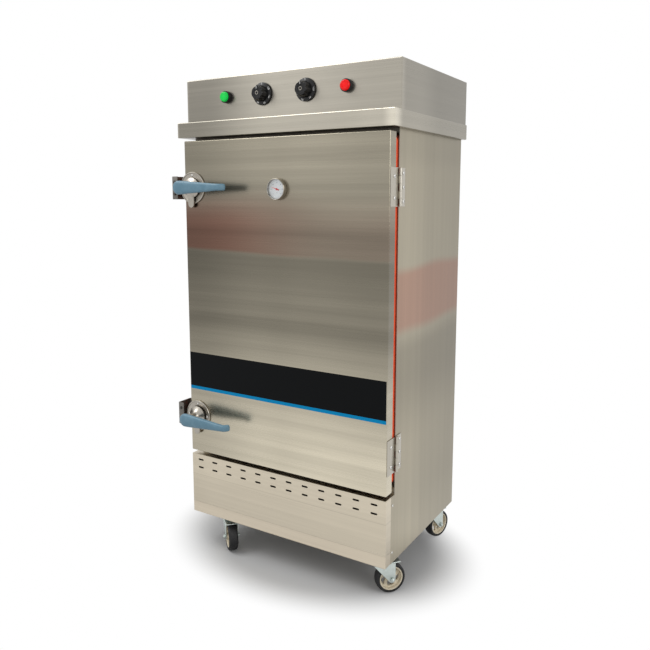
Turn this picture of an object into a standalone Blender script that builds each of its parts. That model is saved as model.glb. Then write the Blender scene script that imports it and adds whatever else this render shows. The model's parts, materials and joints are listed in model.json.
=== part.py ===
# Rice steamer cabinet: a stainless steel cupboard on four swivel casters that
# steams trays of rice. It has one door hung on the right, two lever latches
# with round flanges, a dial thermometer in the door, a control box on top and
# a vented skirt over the base.
#
# Every size is in metres. The cabinet's own coordinates are X from its middle,
# to the right as seen from the front, Y from the face of the front frame
# towards the back, and Z up from the floor. The empty called cabinet moves
# them so that the whole object stands centred over the world's origin.

import bpy
import bmesh
from math import atan2, cos, pi, radians, sin, tau
from mathutils import Matrix, Vector

for leftover in list(bpy.data.objects):
    bpy.data.objects.remove(leftover, do_unlink=True)

# Driving dimensions
CABINET_WIDTH = 0.700
CABINET_DEPTH = 0.452
BASE_HEIGHT = 0.110
SKIRT_HEIGHT = 0.198
DOOR_HEIGHT = 0.980
DOOR_THICKNESS = 0.034
TRIM_HEIGHT = 0.045
CONTROL_HEIGHT = 0.130
GASKET_DEPTH = 0.0185
DOOR_FLOOR_GAP = 0.012
DOOR_TRIM_GAP = 0.009

# Sheet metal, running gaps and the way that a cut runs past what it cuts
SHEET = 0.0012
FRAME_SHEET = 0.0015
FIT = 0.0003
OVERRUN = 0.010
MERGE_DISTANCE = 0.00005

# Levels and planes that several pieces share
HALF_WIDTH = CABINET_WIDTH / 2
SKIRT_TOP = BASE_HEIGHT + SKIRT_HEIGHT
DOOR_BOTTOM = SKIRT_TOP + DOOR_FLOOR_GAP
DOOR_TOP = DOOR_BOTTOM + DOOR_HEIGHT
TRIM_BOTTOM = DOOR_TOP + DOOR_TRIM_GAP
TRIM_TOP = TRIM_BOTTOM + TRIM_HEIGHT
CONTROL_TOP = TRIM_TOP + CONTROL_HEIGHT
DOOR_BACK_Y = -GASKET_DEPTH
DOOR_FRONT_Y = DOOR_BACK_Y - DOOR_THICKNESS
PANEL_FRONT_Y = FRAME_SHEET + FIT
INNER_HALF_WIDTH = HALF_WIDTH - SHEET - FIT
PANEL_TOP = TRIM_TOP - SHEET - FIT

# Turns that stand a flat outline or a turned shape up: its own Z then points
# to the front, or to the right
TO_FRONT = (pi / 2, 0, 0)
TO_BACK = (-pi / 2, 0, 0)
TO_RIGHT = (pi / 2, 0, pi / 2)

parts = bpy.data.collections.new("rice_steamer_cabinet")
bpy.context.scene.collection.children.link(parts)
cutters = bpy.data.collections.new("cutters")
bpy.context.scene.collection.children.link(cutters)


# Materials

def finish(name, colour, metallic, roughness):
    """A Principled material of one colour."""
    material = bpy.data.materials.new(name)
    material.use_nodes = True
    shader = material.node_tree.nodes["Principled BSDF"]
    shader.inputs["Base Color"].default_value = (*colour, 1.0)
    shader.inputs["Metallic"].default_value = metallic
    shader.inputs["Roughness"].default_value = roughness
    return material


brushed_steel = finish("brushed_steel", (0.52, 0.49, 0.43), 1.0, 0.32)
dull_steel = finish("dull_steel", (0.45, 0.44, 0.41), 1.0, 0.45)
polished_steel = finish("polished_steel", (0.62, 0.59, 0.54), 1.0, 0.18)
zinc = finish("zinc_plate", (0.50, 0.56, 0.53), 1.0, 0.35)
brass = finish("brass", (0.60, 0.45, 0.20), 1.0, 0.35)
blue_grip = finish("blue_grip", (0.16, 0.31, 0.44), 0.0, 0.40)
silicone = finish("orange_silicone", (0.80, 0.07, 0.01), 0.0, 0.55)
wool = finish("mineral_wool", (0.62, 0.55, 0.36), 0.0, 0.90)
black_plastic = finish("black_plastic", (0.012, 0.012, 0.014), 0.0, 0.35)
green_lens = finish("green_lens", (0.0, 0.62, 0.08), 0.0, 0.15)
red_lens = finish("red_lens", (0.80, 0.0, 0.005), 0.0, 0.15)
dial_white = finish("dial_white", (0.80, 0.82, 0.84), 0.0, 0.50)
needle_red = finish("needle_red", (0.70, 0.02, 0.02), 0.0, 0.45)
clear_glass = finish("clear_glass", (0.90, 0.95, 0.95), 0.0, 0.05)
cream_plastic = finish("cream_plastic", (0.68, 0.60, 0.45), 0.0, 0.45)
tyre_rubber = finish("tyre_rubber", (0.010, 0.010, 0.011), 0.0, 0.60)


# Ways of placing, shaping and cutting

def place(obj, material, parent, at, turn=(0, 0, 0)):
    """Links an object, gives it its finish and sets it on its parent."""
    parts.objects.link(obj)
    obj.data.materials.clear()
    obj.data.materials.append(material)
    obj.parent = parent
    obj.location = at
    obj.rotation_euler = turn
    return obj


def axis_empty(name, parent, at, turn=(0, 0, 0)):
    """An empty that carries a moving piece on its joint's axis."""
    empty = bpy.data.objects.new(name, None)
    parts.objects.link(empty)
    empty.parent = parent
    empty.location = at
    empty.rotation_euler = turn
    return empty


def mesh_object(name, shape):
    """A mesh object made of a bmesh, which is then freed."""
    bmesh.ops.recalc_face_normals(shape, faces=shape.faces)
    mesh = bpy.data.meshes.new(name)
    shape.to_mesh(mesh)
    shape.free()
    return bpy.data.objects.new(name, mesh)


def box_shape(name, low, high):
    """A cube stretched between two corners about its own middle."""
    size = Vector(high) - Vector(low)
    shape = bmesh.new()
    bmesh.ops.create_cube(shape, size=1.0)
    bmesh.ops.scale(shape, vec=size, verts=shape.verts)
    return mesh_object(name, shape)


def middle(low, high):
    return (Vector(low) + Vector(high)) / 2


def box(name, low, high, material, parent, shift=(0, 0, 0)):
    """A box between two corners of the cabinet's coordinates."""
    return place(box_shape(name, low, high), material, parent,
                 middle(low, high) - Vector(shift))


def open_box(name, low, high, open_sides, wall, radius, material, parent,
             shift=(0, 0, 0), outward=False, segments=2):
    """A sheet metal tray: a box that lacks some sides, folded with a radius
    and given its wall inwards, or outwards where it lines something."""
    shell = box_shape(name, low, high)
    shape = bmesh.new()
    shape.from_mesh(shell.data)
    gone = [face for face in shape.faces
            if any(face.normal.dot(Vector(side)) > 0.9 for side in open_sides)]
    bmesh.ops.delete(shape, geom=gone, context="FACES")
    shape.to_mesh(shell.data)
    shape.free()
    place(shell, material, parent, middle(low, high) - Vector(shift))
    if radius:
        round_edges(shell, radius, segments)
    skin = shell.modifiers.new("wall", "SOLIDIFY")
    skin.thickness = wall
    skin.offset = 1.0 if outward else -1.0
    skin.use_even_offset = True
    return shell


FRONT, BACK = (0, -1, 0), (0, 1, 0)
BOTTOM, TOP = (0, 0, -1), (0, 0, 1)


def round_edges(obj, radius, segments, sharp=30):
    """Rounds the edges of a piece that turn by more than an angle."""
    bevel = obj.modifiers.new("rounded_edges", "BEVEL")
    bevel.width = radius
    bevel.segments = segments
    bevel.limit_method = "ANGLE"
    bevel.angle_limit = radians(sharp)
    return bevel


def turned_shape(name, profile, steps, closed=False):
    """A turned piece: its profile, from top to bottom, spun about Z."""
    mesh = bpy.data.meshes.new(name)
    points = [(radius, 0, height) for radius, height in profile]
    edges = [(i, i + 1) for i in range(len(points) - 1)]
    if closed:
        edges.append((len(points) - 1, 0))
    mesh.from_pydata(points, edges, [])
    obj = bpy.data.objects.new(name, mesh)
    screw = obj.modifiers.new("turning", "SCREW")
    screw.axis = "Z"
    screw.angle = tau
    screw.steps = steps
    screw.render_steps = steps
    screw.use_merge_vertices = True
    screw.merge_threshold = MERGE_DISTANCE
    screw.use_smooth_shade = True
    return obj


def turned(name, profile, steps, material, parent, at, turn=(0, 0, 0), closed=False):
    return place(turned_shape(name, profile, steps, closed), material, parent, at, turn)


def rod_shape(name, radius, length, sides):
    """A cylinder about Z, centred on its own origin."""
    shape = bmesh.new()
    bmesh.ops.create_cone(shape, cap_ends=True, segments=sides,
                          radius1=radius, radius2=radius, depth=length)
    return mesh_object(name, shape)


def curve_mesh(name, curve):
    """A curve's solid as a mesh, with its caps joined on."""
    holder = bpy.data.objects.new(name + "_curve", curve)
    bpy.context.scene.collection.objects.link(holder)
    graph = bpy.context.evaluated_depsgraph_get()
    mesh = bpy.data.meshes.new_from_object(holder.evaluated_get(graph))
    bpy.data.objects.remove(holder, do_unlink=True)
    shape = bmesh.new()
    shape.from_mesh(mesh)
    bmesh.ops.remove_doubles(shape, verts=shape.verts, dist=MERGE_DISTANCE)
    bpy.data.meshes.remove(mesh)
    return mesh_object(name, shape)


def plate_shape(name, outlines, thickness):
    """A flat plate from an outline, with holes where more outlines lie in it,
    centred on its own plane."""
    curve = bpy.data.curves.new(name, "CURVE")
    curve.dimensions = "2D"
    curve.fill_mode = "BOTH"
    curve.extrude = thickness / 2
    for outline in outlines:
        spline = curve.splines.new("POLY")
        spline.points.add(len(outline) - 1)
        for point, (x, y) in zip(spline.points, outline):
            point.co = (x, y, 0, 1)
        spline.use_cyclic_u = True
    return curve_mesh(name, curve)


def plate(name, outlines, thickness, material, parent, at, turn=(0, 0, 0)):
    return place(plate_shape(name, outlines, thickness), material, parent, at, turn)


def tube(name, points, radius, sides, material, parent, at=(0, 0, 0)):
    """A rod or a pipe along a run of points."""
    curve = bpy.data.curves.new(name, "CURVE")
    curve.dimensions = "3D"
    curve.bevel_depth = radius
    curve.bevel_resolution = sides // 4 - 1
    curve.use_fill_caps = True
    spline = curve.splines.new("POLY")
    spline.points.add(len(points) - 1)
    for point, (x, y, z) in zip(spline.points, points):
        point.co = (x, y, z, 1)
    return place(curve_mesh(name, curve), material, parent, at)


def work(target, tool, operation, at, turn=(0, 0, 0)):
    """Cuts a tool out of a piece, or joins it on. The tool is placed as the
    piece's neighbour, on the same parent."""
    cutters.objects.link(tool)
    tool.parent = target.parent
    tool.location = at
    tool.rotation_euler = turn
    tool.hide_render = True
    tool.display_type = "WIRE"
    step = target.modifiers.new(tool.name, "BOOLEAN")
    step.operation = operation
    step.solver = "EXACT"
    step.object = tool
    return step


def cut(target, tool, at, turn=(0, 0, 0)):
    return work(target, tool, "DIFFERENCE", at, turn)


def join(target, tool, at, turn=(0, 0, 0)):
    return work(target, tool, "UNION", at, turn)


def bit_shape(name, radius, length, sides):
    """A cylinder whose flats lie at the radius, so that a round piece fits in
    the hole that it makes."""
    return rod_shape(name, radius / cos(pi / sides), length, sides)


def drill(target, name, radius, near, far, sides, shift=(0, 0, 0)):
    """A round hole along X, Y or Z between two points."""
    run = Vector(far) - Vector(near)
    tool = bit_shape(name, radius, run.length + 2 * OVERRUN, sides)
    turn = run.to_track_quat("Z", "Y").to_euler()
    return cut(target, tool, middle(near, far) - Vector(shift), turn)


def arc(centre, radius, start, end, steps):
    """Points along an arc, both ends included, angles in radians."""
    angles = [start + (end - start) * i / steps for i in range(steps + 1)]
    return [(centre[0] + radius * cos(a), centre[1] + radius * sin(a)) for a in angles]


def rounded_rectangle(low, high, radius, steps):
    """The outline of a rectangle with round corners."""
    (x0, y0), (x1, y1) = low, high
    corners = [((x1 - radius, y1 - radius), 0), ((x0 + radius, y1 - radius), pi / 2),
               ((x0 + radius, y0 + radius), pi), ((x1 - radius, y0 + radius), 3 * pi / 2)]
    points = []
    for centre, start in corners:
        points += arc(centre, radius, start, start + pi / 2, steps)
    return points


def rectangle(low, high):
    (x0, y0), (x1, y1) = low, high
    return [(x0, y0), (x1, y0), (x1, y1), (x0, y1)]


# Sizes that set how far the object reaches, and so where its middle lies

TRIM_OVERHANG = 0.017
TRIM_NOSE = 0.009
TRIM_FRONT_Y = DOOR_FRONT_Y - TRIM_NOSE
TRIM_BACK_Y = CABINET_DEPTH + SHEET + FIT
TRIM_HALF_WIDTH = HALF_WIDTH + TRIM_OVERHANG
REAR_PIPE_REACH = 0.030
GRIP_STANDOFF = 0.062
GRIP_HALF_THICKNESS = 0.009
KEEPER_REACH = 0.041

LEFT_END = -max(HALF_WIDTH + KEEPER_REACH, TRIM_HALF_WIDTH)
RIGHT_END = TRIM_HALF_WIDTH
FRONT_END = DOOR_FRONT_Y - GRIP_STANDOFF - GRIP_HALF_THICKNESS
REAR_END = CABINET_DEPTH + REAR_PIPE_REACH
CABINET_MIDDLE = ((LEFT_END + RIGHT_END) / 2, (FRONT_END + REAR_END) / 2)

cabinet = axis_empty("cabinet", None, (-CABINET_MIDDLE[0], -CABINET_MIDDLE[1], 0))


# Chamber: the room between it and the cabinet's walls, its clear size, and the
# size of the tank that stands on its floor

CHAMBER_SIDE_ROOM = 0.046
CHAMBER_BACK_ROOM = 0.042
CHAMBER_FLOOR_RISE = 0.045
CHAMBER_ROOF_DROP = 0.035
CHAMBER_HALF_WIDTH = HALF_WIDTH - CHAMBER_SIDE_ROOM
CHAMBER_BACK_Y = CABINET_DEPTH - CHAMBER_BACK_ROOM
CHAMBER_FLOOR = DOOR_BOTTOM + CHAMBER_FLOOR_RISE
CHAMBER_ROOF = DOOR_TOP - CHAMBER_ROOF_DROP
LINER_SHEET = 0.0010
TANK_SIDE_ROOM = 0.022
TANK_BACK_ROOM = 0.012
TANK_HALF_WIDTH = CHAMBER_HALF_WIDTH - TANK_SIDE_ROOM
TANK_BACK_Y = CHAMBER_BACK_Y - TANK_BACK_ROOM

# Pipes and rods that go through the walls behind the chamber, each set in from
# the tank's own walls

ELEMENT_RADIUS = 0.0055
ELEMENT_INSET = 0.132
ELEMENT_HALF_SPAN = TANK_HALF_WIDTH - ELEMENT_INSET
ELEMENT_HEIGHT = 0.028
INLET_RADIUS = 0.010
INLET_INSET = 0.067
INLET_X = INLET_INSET - TANK_HALF_WIDTH
INLET_HEIGHT = 0.040
DRAIN_RADIUS = 0.0125
DRAIN_SIDE_INSET = 0.067
DRAIN_BACK_INSET = 0.098
DRAIN_X = TANK_HALF_WIDTH - DRAIN_SIDE_INSET
DRAIN_Y = TANK_BACK_Y - DRAIN_BACK_INSET
DRAIN_HEIGHT = 0.080
PIPE_SIDES = 12

ELEMENT_Z = CHAMBER_FLOOR + ELEMENT_HEIGHT
INLET_Z = CHAMBER_FLOOR + INLET_HEIGHT
DRAIN_Z = BASE_HEIGHT + DRAIN_HEIGHT


def drill_for_services(wall, name, front_y, back_y):
    """Clearance holes for the element's two legs and the water inlet."""
    for side, x in (("left", -ELEMENT_HALF_SPAN), ("right", ELEMENT_HALF_SPAN)):
        drill(wall, f"{name}_{side}_leg_hole", ELEMENT_RADIUS + FIT,
              (x, front_y, ELEMENT_Z), (x, back_y, ELEMENT_Z), PIPE_SIDES)
    drill(wall, f"{name}_inlet_hole", INLET_RADIUS + FIT,
          (INLET_X, front_y, INLET_Z), (INLET_X, back_y, INLET_Z), PIPE_SIDES)


# Outer panels: flat sheets at the sides and back, and the frame that the
# door closes on. Under the door the side sheets run forward to the skirt

SIDE_RETURN = 0.0325
side_seam_y = DOOR_FRONT_Y + SIDE_RETURN
apron_top = SKIRT_TOP - SHEET - FIT
side_outline = [(side_seam_y + FIT, BASE_HEIGHT), (CABINET_DEPTH, BASE_HEIGHT),
                (CABINET_DEPTH, PANEL_TOP), (PANEL_FRONT_Y, PANEL_TOP),
                (PANEL_FRONT_Y, apron_top), (side_seam_y + FIT, apron_top)]
for side, sign in (("left", -1), ("right", 1)):
    plate(f"{side}_side_panel", [side_outline], SHEET, brushed_steel, cabinet,
          (sign * (HALF_WIDTH - SHEET / 2), 0, 0), TO_RIGHT)

back_panel = box("back_panel",
                 (-INNER_HALF_WIDTH, CABINET_DEPTH - SHEET, BASE_HEIGHT),
                 (INNER_HALF_WIDTH, CABINET_DEPTH, PANEL_TOP), dull_steel, cabinet)
drill(back_panel, "back_inlet_hole", INLET_RADIUS + FIT,
      (INLET_X, CABINET_DEPTH - SHEET, INLET_Z), (INLET_X, CABINET_DEPTH, INLET_Z), PIPE_SIDES)
drill(back_panel, "back_drain_hole", DRAIN_RADIUS + FIT,
      (DRAIN_X, CABINET_DEPTH - SHEET, DRAIN_Z), (DRAIN_X, CABINET_DEPTH, DRAIN_Z), PIPE_SIDES)

plate("front_frame", [
    rectangle((-HALF_WIDTH, SKIRT_TOP + FIT), (HALF_WIDTH, PANEL_TOP)),
    rectangle((-CHAMBER_HALF_WIDTH, CHAMBER_FLOOR), (CHAMBER_HALF_WIDTH, CHAMBER_ROOF))],
    FRAME_SHEET, brushed_steel, cabinet, (0, FRAME_SHEET / 2, 0), TO_FRONT)

# Chamber liner: the inner box that holds the steam, with a blanket of
# insulation wrapped round it

liner = open_box("chamber_liner",
                 (-CHAMBER_HALF_WIDTH, PANEL_FRONT_Y, CHAMBER_FLOOR),
                 (CHAMBER_HALF_WIDTH, CHAMBER_BACK_Y, CHAMBER_ROOF),
                 [FRONT], LINER_SHEET, 0, polished_steel, cabinet, outward=True)
drill_for_services(liner, "liner", CHAMBER_BACK_Y, CHAMBER_BACK_Y + LINER_SHEET)
drill(liner, "liner_drain_hole", DRAIN_RADIUS + FIT,
      (DRAIN_X, DRAIN_Y, CHAMBER_FLOOR - LINER_SHEET), (DRAIN_X, DRAIN_Y, CHAMBER_FLOOR), PIPE_SIDES)

BLANKET = 0.012
blanket_inset = LINER_SHEET + FIT
blanket = open_box("insulation",
                   (-CHAMBER_HALF_WIDTH - blanket_inset, PANEL_FRONT_Y,
                    CHAMBER_FLOOR - blanket_inset),
                   (CHAMBER_HALF_WIDTH + blanket_inset, CHAMBER_BACK_Y + blanket_inset,
                    CHAMBER_ROOF + blanket_inset),
                   [FRONT], BLANKET, 0, wool, cabinet, outward=True)
drill_for_services(blanket, "insulation", CHAMBER_BACK_Y, CHAMBER_BACK_Y + BLANKET)
drill(blanket, "insulation_drain_hole", DRAIN_RADIUS + FIT,
      (DRAIN_X, DRAIN_Y, CHAMBER_FLOOR - BLANKET), (DRAIN_X, DRAIN_Y, CHAMBER_FLOOR), PIPE_SIDES)

# Tray racks: each side wall carries one folded plate with a ledge for every
# tray

TRAY_LEVELS = 10
RACK_RISE = 0.080
RACK_DROP = 0.020
RACK_FRONT_Y = 0.020
RACK_BACK_ROOM = 0.014
RACK_BOTTOM = CHAMBER_FLOOR + RACK_RISE
RACK_TOP = CHAMBER_ROOF - RACK_DROP
RACK_BACK_Y = CHAMBER_BACK_Y - RACK_BACK_ROOM
RACK_SHEET = 0.0020
LEDGE_REACH = 0.026
LEDGE_LIP = 0.006


def rack_outline():
    """The folded plate seen from the front: its back is flat on the wall and
    its face steps out and in again at every ledge."""
    pitch = (RACK_TOP - RACK_BOTTOM) / TRAY_LEVELS
    points = [(0, RACK_TOP), (0, RACK_BOTTOM), (RACK_SHEET, RACK_BOTTOM)]
    for level in range(TRAY_LEVELS):
        ledge = RACK_BOTTOM + pitch * level + LEDGE_LIP
        points += [(RACK_SHEET, ledge), (LEDGE_REACH, ledge), (LEDGE_REACH, ledge - LEDGE_LIP),
                   (LEDGE_REACH + RACK_SHEET, ledge - LEDGE_LIP),
                   (LEDGE_REACH + RACK_SHEET, ledge + RACK_SHEET),
                   (RACK_SHEET, ledge + RACK_SHEET)]
    points.append((RACK_SHEET, RACK_TOP))
    return points


for side, sign in (("left", 1), ("right", -1)):
    outline = [(sign * (x - CHAMBER_HALF_WIDTH + FIT), z) for x, z in rack_outline()]
    plate(f"{side}_tray_rack", [outline], RACK_BACK_Y - RACK_FRONT_Y, polished_steel, cabinet,
          (0, (RACK_FRONT_Y + RACK_BACK_Y) / 2, 0), TO_FRONT)

# Water tank and heating element: the element is one long tube bent into a W
# that lies under water, with both legs going out through the back

TANK_FRONT_Y = 0.016
TANK_DEPTH = 0.062
TANK_FLOOR = CHAMBER_FLOOR + FIT

tank = open_box("water_tank",
                (-TANK_HALF_WIDTH, TANK_FRONT_Y, TANK_FLOOR),
                (TANK_HALF_WIDTH, TANK_BACK_Y, TANK_FLOOR + TANK_DEPTH),
                [TOP], LINER_SHEET, 0, polished_steel, cabinet)
drill_for_services(tank, "tank", TANK_BACK_Y - LINER_SHEET, TANK_BACK_Y)
tank_floor_top = TANK_FLOOR + LINER_SHEET
drill(tank, "tank_drain_hole", DRAIN_RADIUS + FIT, (DRAIN_X, DRAIN_Y, TANK_FLOOR),
      (DRAIN_X, DRAIN_Y, tank_floor_top), PIPE_SIDES)

ELEMENT_FRONT_ROOM = 0.079
ELEMENT_BACK_ROOM = 0.098
ELEMENT_END_ROOM = 0.014
TURN_STEPS = 6
ELEMENT_SIDES = 8
ELEMENT_FRONT_Y = TANK_FRONT_Y + ELEMENT_FRONT_ROOM
ELEMENT_INNER_BACK_Y = TANK_BACK_Y - ELEMENT_BACK_ROOM
ELEMENT_END_Y = CABINET_DEPTH - ELEMENT_END_ROOM


def element_route():
    """Down the left leg, three half turns, and back along the right leg."""
    bend = ELEMENT_HALF_SPAN / 3
    left, right = -ELEMENT_HALF_SPAN, ELEMENT_HALF_SPAN
    route = [(left, ELEMENT_END_Y)]
    route += arc((left + bend, ELEMENT_FRONT_Y), bend, pi, tau, TURN_STEPS)
    route += arc((0, ELEMENT_INNER_BACK_Y), bend, pi, 0, TURN_STEPS)
    route += arc((right - bend, ELEMENT_FRONT_Y), bend, pi, tau, TURN_STEPS)
    route.append((right, ELEMENT_END_Y))
    return [(x, y, ELEMENT_Z) for x, y in route]


tube("heating_element", element_route(), ELEMENT_RADIUS, ELEMENT_SIDES, dull_steel, cabinet)

# Water inlet and drain at the back. The drain comes down from a strainer on the
# tank's floor, turns through the base and ends in a cap

INLET_FLANGE_RADIUS = 0.018
INLET_FLANGE = 0.005
INLET_INSIDE = 0.010
INLET_INNER_Y = TANK_BACK_Y - INLET_INSIDE
INLET_BORE_RADIUS = 0.0065

turned("water_inlet", [
    (INLET_RADIUS, CABINET_DEPTH + REAR_PIPE_REACH),
    (INLET_RADIUS, CABINET_DEPTH + FIT + INLET_FLANGE),
    (INLET_FLANGE_RADIUS, CABINET_DEPTH + FIT + INLET_FLANGE),
    (INLET_FLANGE_RADIUS, CABINET_DEPTH + FIT),
    (INLET_RADIUS, CABINET_DEPTH + FIT),
    (INLET_RADIUS, INLET_INNER_Y),
    (INLET_BORE_RADIUS, INLET_INNER_Y),
    (INLET_BORE_RADIUS, CABINET_DEPTH + REAR_PIPE_REACH)],
    PIPE_SIDES, brass, cabinet, (INLET_X, 0, INLET_Z), TO_BACK, closed=True)

DRAIN_BEND = 0.030
DRAIN_BEND_STEPS = 5
DRAIN_SIDES = 12
STRAINER_RADIUS = 0.018
STRAINER_HEIGHT = 0.0020
DRAIN_CAP_RADIUS = 0.0175
DRAIN_CAP_LENGTH = 0.020

strainer_z = tank_floor_top + FIT + STRAINER_HEIGHT / 2
drain_bend_run = arc((DRAIN_Y + DRAIN_BEND, DRAIN_Z + DRAIN_BEND), DRAIN_BEND,
                     pi, 3 * pi / 2, DRAIN_BEND_STEPS)
drain = tube("drain_pipe",
             [(DRAIN_X, DRAIN_Y, strainer_z)]
             + [(DRAIN_X, y, z) for y, z in drain_bend_run]
             + [(DRAIN_X, REAR_END - DRAIN_CAP_LENGTH / 2, DRAIN_Z)],
             DRAIN_RADIUS, DRAIN_SIDES, brass, cabinet)
join(drain, rod_shape("drain_cap", DRAIN_CAP_RADIUS, DRAIN_CAP_LENGTH, 8),
     (DRAIN_X, REAR_END - DRAIN_CAP_LENGTH / 2, DRAIN_Z), TO_BACK)
join(drain, rod_shape("drain_strainer", STRAINER_RADIUS, STRAINER_HEIGHT, PIPE_SIDES),
     (DRAIN_X, DRAIN_Y, strainer_z))

# Trim band: a lid of folded sheet that overhangs the cabinet all round and
# comes forward over the door. Its open underside lets the panels up into it

TRIM_EDGE = 0.0020
trim_low = (-TRIM_HALF_WIDTH, TRIM_FRONT_Y, TRIM_BOTTOM)
trim_high = (TRIM_HALF_WIDTH, TRIM_BACK_Y, TRIM_TOP)
trim = box("trim_band", trim_low, trim_high, brushed_steel, cabinet)
round_edges(trim, TRIM_EDGE, 2)
wall_in = Vector((SHEET, SHEET, SHEET))
trim_room_low, trim_room_high = Vector(trim_low) + wall_in, Vector(trim_high) - wall_in
cut(trim, box_shape("trim_room", trim_room_low, trim_room_high),
    middle(trim_room_low, trim_room_high))
mouth_low = (-HALF_WIDTH - FIT, -FIT, TRIM_BOTTOM - OVERRUN)
mouth_high = (HALF_WIDTH + FIT, CABINET_DEPTH + FIT, TRIM_BOTTOM + TRIM_HEIGHT / 2)
cut(trim, box_shape("trim_mouth", mouth_low, mouth_high), middle(mouth_low, mouth_high))

# Control box: a folded hood on top of the trim band, drilled for two knobs
# and two indicator lamps

CONTROL_STEP = 0.003
CONTROL_SETBACK = 0.0435
CONTROL_HALF_WIDTH = TRIM_HALF_WIDTH - CONTROL_STEP
CONTROL_FRONT_Y = TRIM_FRONT_Y + CONTROL_SETBACK
CONTROL_EDGE = 0.0025
CONTROL_ROW_HEIGHT = 0.070
CONTROL_ROW_Z = TRIM_TOP + CONTROL_ROW_HEIGHT
LAMP_X = 0.205
LAMP_BARREL_RADIUS = 0.011
KNOB_X = 0.074
BUSH_RADIUS = 0.005
GLAND_INSET = 0.104
GLAND_X = GLAND_INSET - CONTROL_HALF_WIDTH
GLAND_RADIUS = 0.009
HOLE_SIDES = 14
PANEL_BACK_Y = CONTROL_FRONT_Y + SHEET

hood = open_box("control_housing",
                (-CONTROL_HALF_WIDTH, CONTROL_FRONT_Y, TRIM_TOP + FIT),
                (CONTROL_HALF_WIDTH, CABINET_DEPTH, CONTROL_TOP),
                [BOTTOM], SHEET, CONTROL_EDGE, brushed_steel, cabinet)
for name, x, radius in (("green_lamp_hole", -LAMP_X, LAMP_BARREL_RADIUS),
                        ("red_lamp_hole", LAMP_X, LAMP_BARREL_RADIUS),
                        ("timer_hole", -KNOB_X, BUSH_RADIUS),
                        ("thermostat_hole", KNOB_X, BUSH_RADIUS)):
    drill(hood, name, radius + FIT, (x, CONTROL_FRONT_Y, CONTROL_ROW_Z),
          (x, PANEL_BACK_Y, CONTROL_ROW_Z), HOLE_SIDES)
drill(hood, "gland_hole", GLAND_RADIUS + FIT, (GLAND_X, CABINET_DEPTH - SHEET, CONTROL_ROW_Z),
      (GLAND_X, CABINET_DEPTH, CONTROL_ROW_Z), HOLE_SIDES)

# Control chassis: the strip behind the panel with the timer and thermostat
# bodies, whose bushes come through the panel

CHASSIS_HALF_WIDTH = 0.110
CHASSIS_HALF_HEIGHT = 0.024
CHASSIS_SHEET = 0.0020
BODY_HALF_WIDTH = 0.024
BODY_HALF_HEIGHT = 0.028
BODY_DEPTH = 0.042
BUSH_PROUD = 0.0005
SHAFT_RADIUS = 0.003
SHAFT_REACH = 0.015

chassis_front_y = PANEL_BACK_Y + FIT
chassis = box("control_chassis",
              (-CHASSIS_HALF_WIDTH, chassis_front_y, CONTROL_ROW_Z - CHASSIS_HALF_HEIGHT),
              (CHASSIS_HALF_WIDTH, chassis_front_y + CHASSIS_SHEET,
               CONTROL_ROW_Z + CHASSIS_HALF_HEIGHT), dull_steel, cabinet)
for name, x in (("timer", -KNOB_X), ("thermostat", KNOB_X)):
    body_low = (x - BODY_HALF_WIDTH, chassis_front_y + CHASSIS_SHEET / 2,
                CONTROL_ROW_Z - BODY_HALF_HEIGHT)
    body_high = (x + BODY_HALF_WIDTH, chassis_front_y + BODY_DEPTH,
                 CONTROL_ROW_Z + BODY_HALF_HEIGHT)
    join(chassis, box_shape(f"{name}_body", body_low, body_high), middle(body_low, body_high))
    bush_front = (x, CONTROL_FRONT_Y - BUSH_PROUD, CONTROL_ROW_Z)
    bush_back = (x, chassis_front_y + CHASSIS_SHEET / 2, CONTROL_ROW_Z)
    join(chassis, rod_shape(f"{name}_bush", BUSH_RADIUS, bush_back[1] - bush_front[1], HOLE_SIDES),
         middle(bush_front, bush_back), TO_FRONT)
    bore_back = (x, CONTROL_FRONT_Y + SHAFT_REACH, CONTROL_ROW_Z)
    drill(chassis, f"{name}_bore", SHAFT_RADIUS + FIT, bush_front, bore_back, HOLE_SIDES)

# Knobs: a numbered skirt, a fluted grip with a pointer rib, and the shaft

KNOB_SKIRT_RADIUS = 0.032
KNOB_SKIRT = 0.005
KNOB_RADIUS = 0.0225
KNOB_TOP_RADIUS = 0.0195
KNOB_HEIGHT = 0.030
KNOB_CROWN = 0.003
KNOB_DISH_RADIUS = 0.008
KNOB_DISH = 0.0015
KNOB_STEPS = 28
KNOB_CLEARANCE = 0.0010
FLUTE_RADIUS = 0.0040
FLUTE_COUNT = 7
FLUTE_SIDES = 6
FLUTE_SINK = 0.0024
POINTER_HALF_WIDTH = 0.0016
POINTER_PROUD = 0.0012


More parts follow.
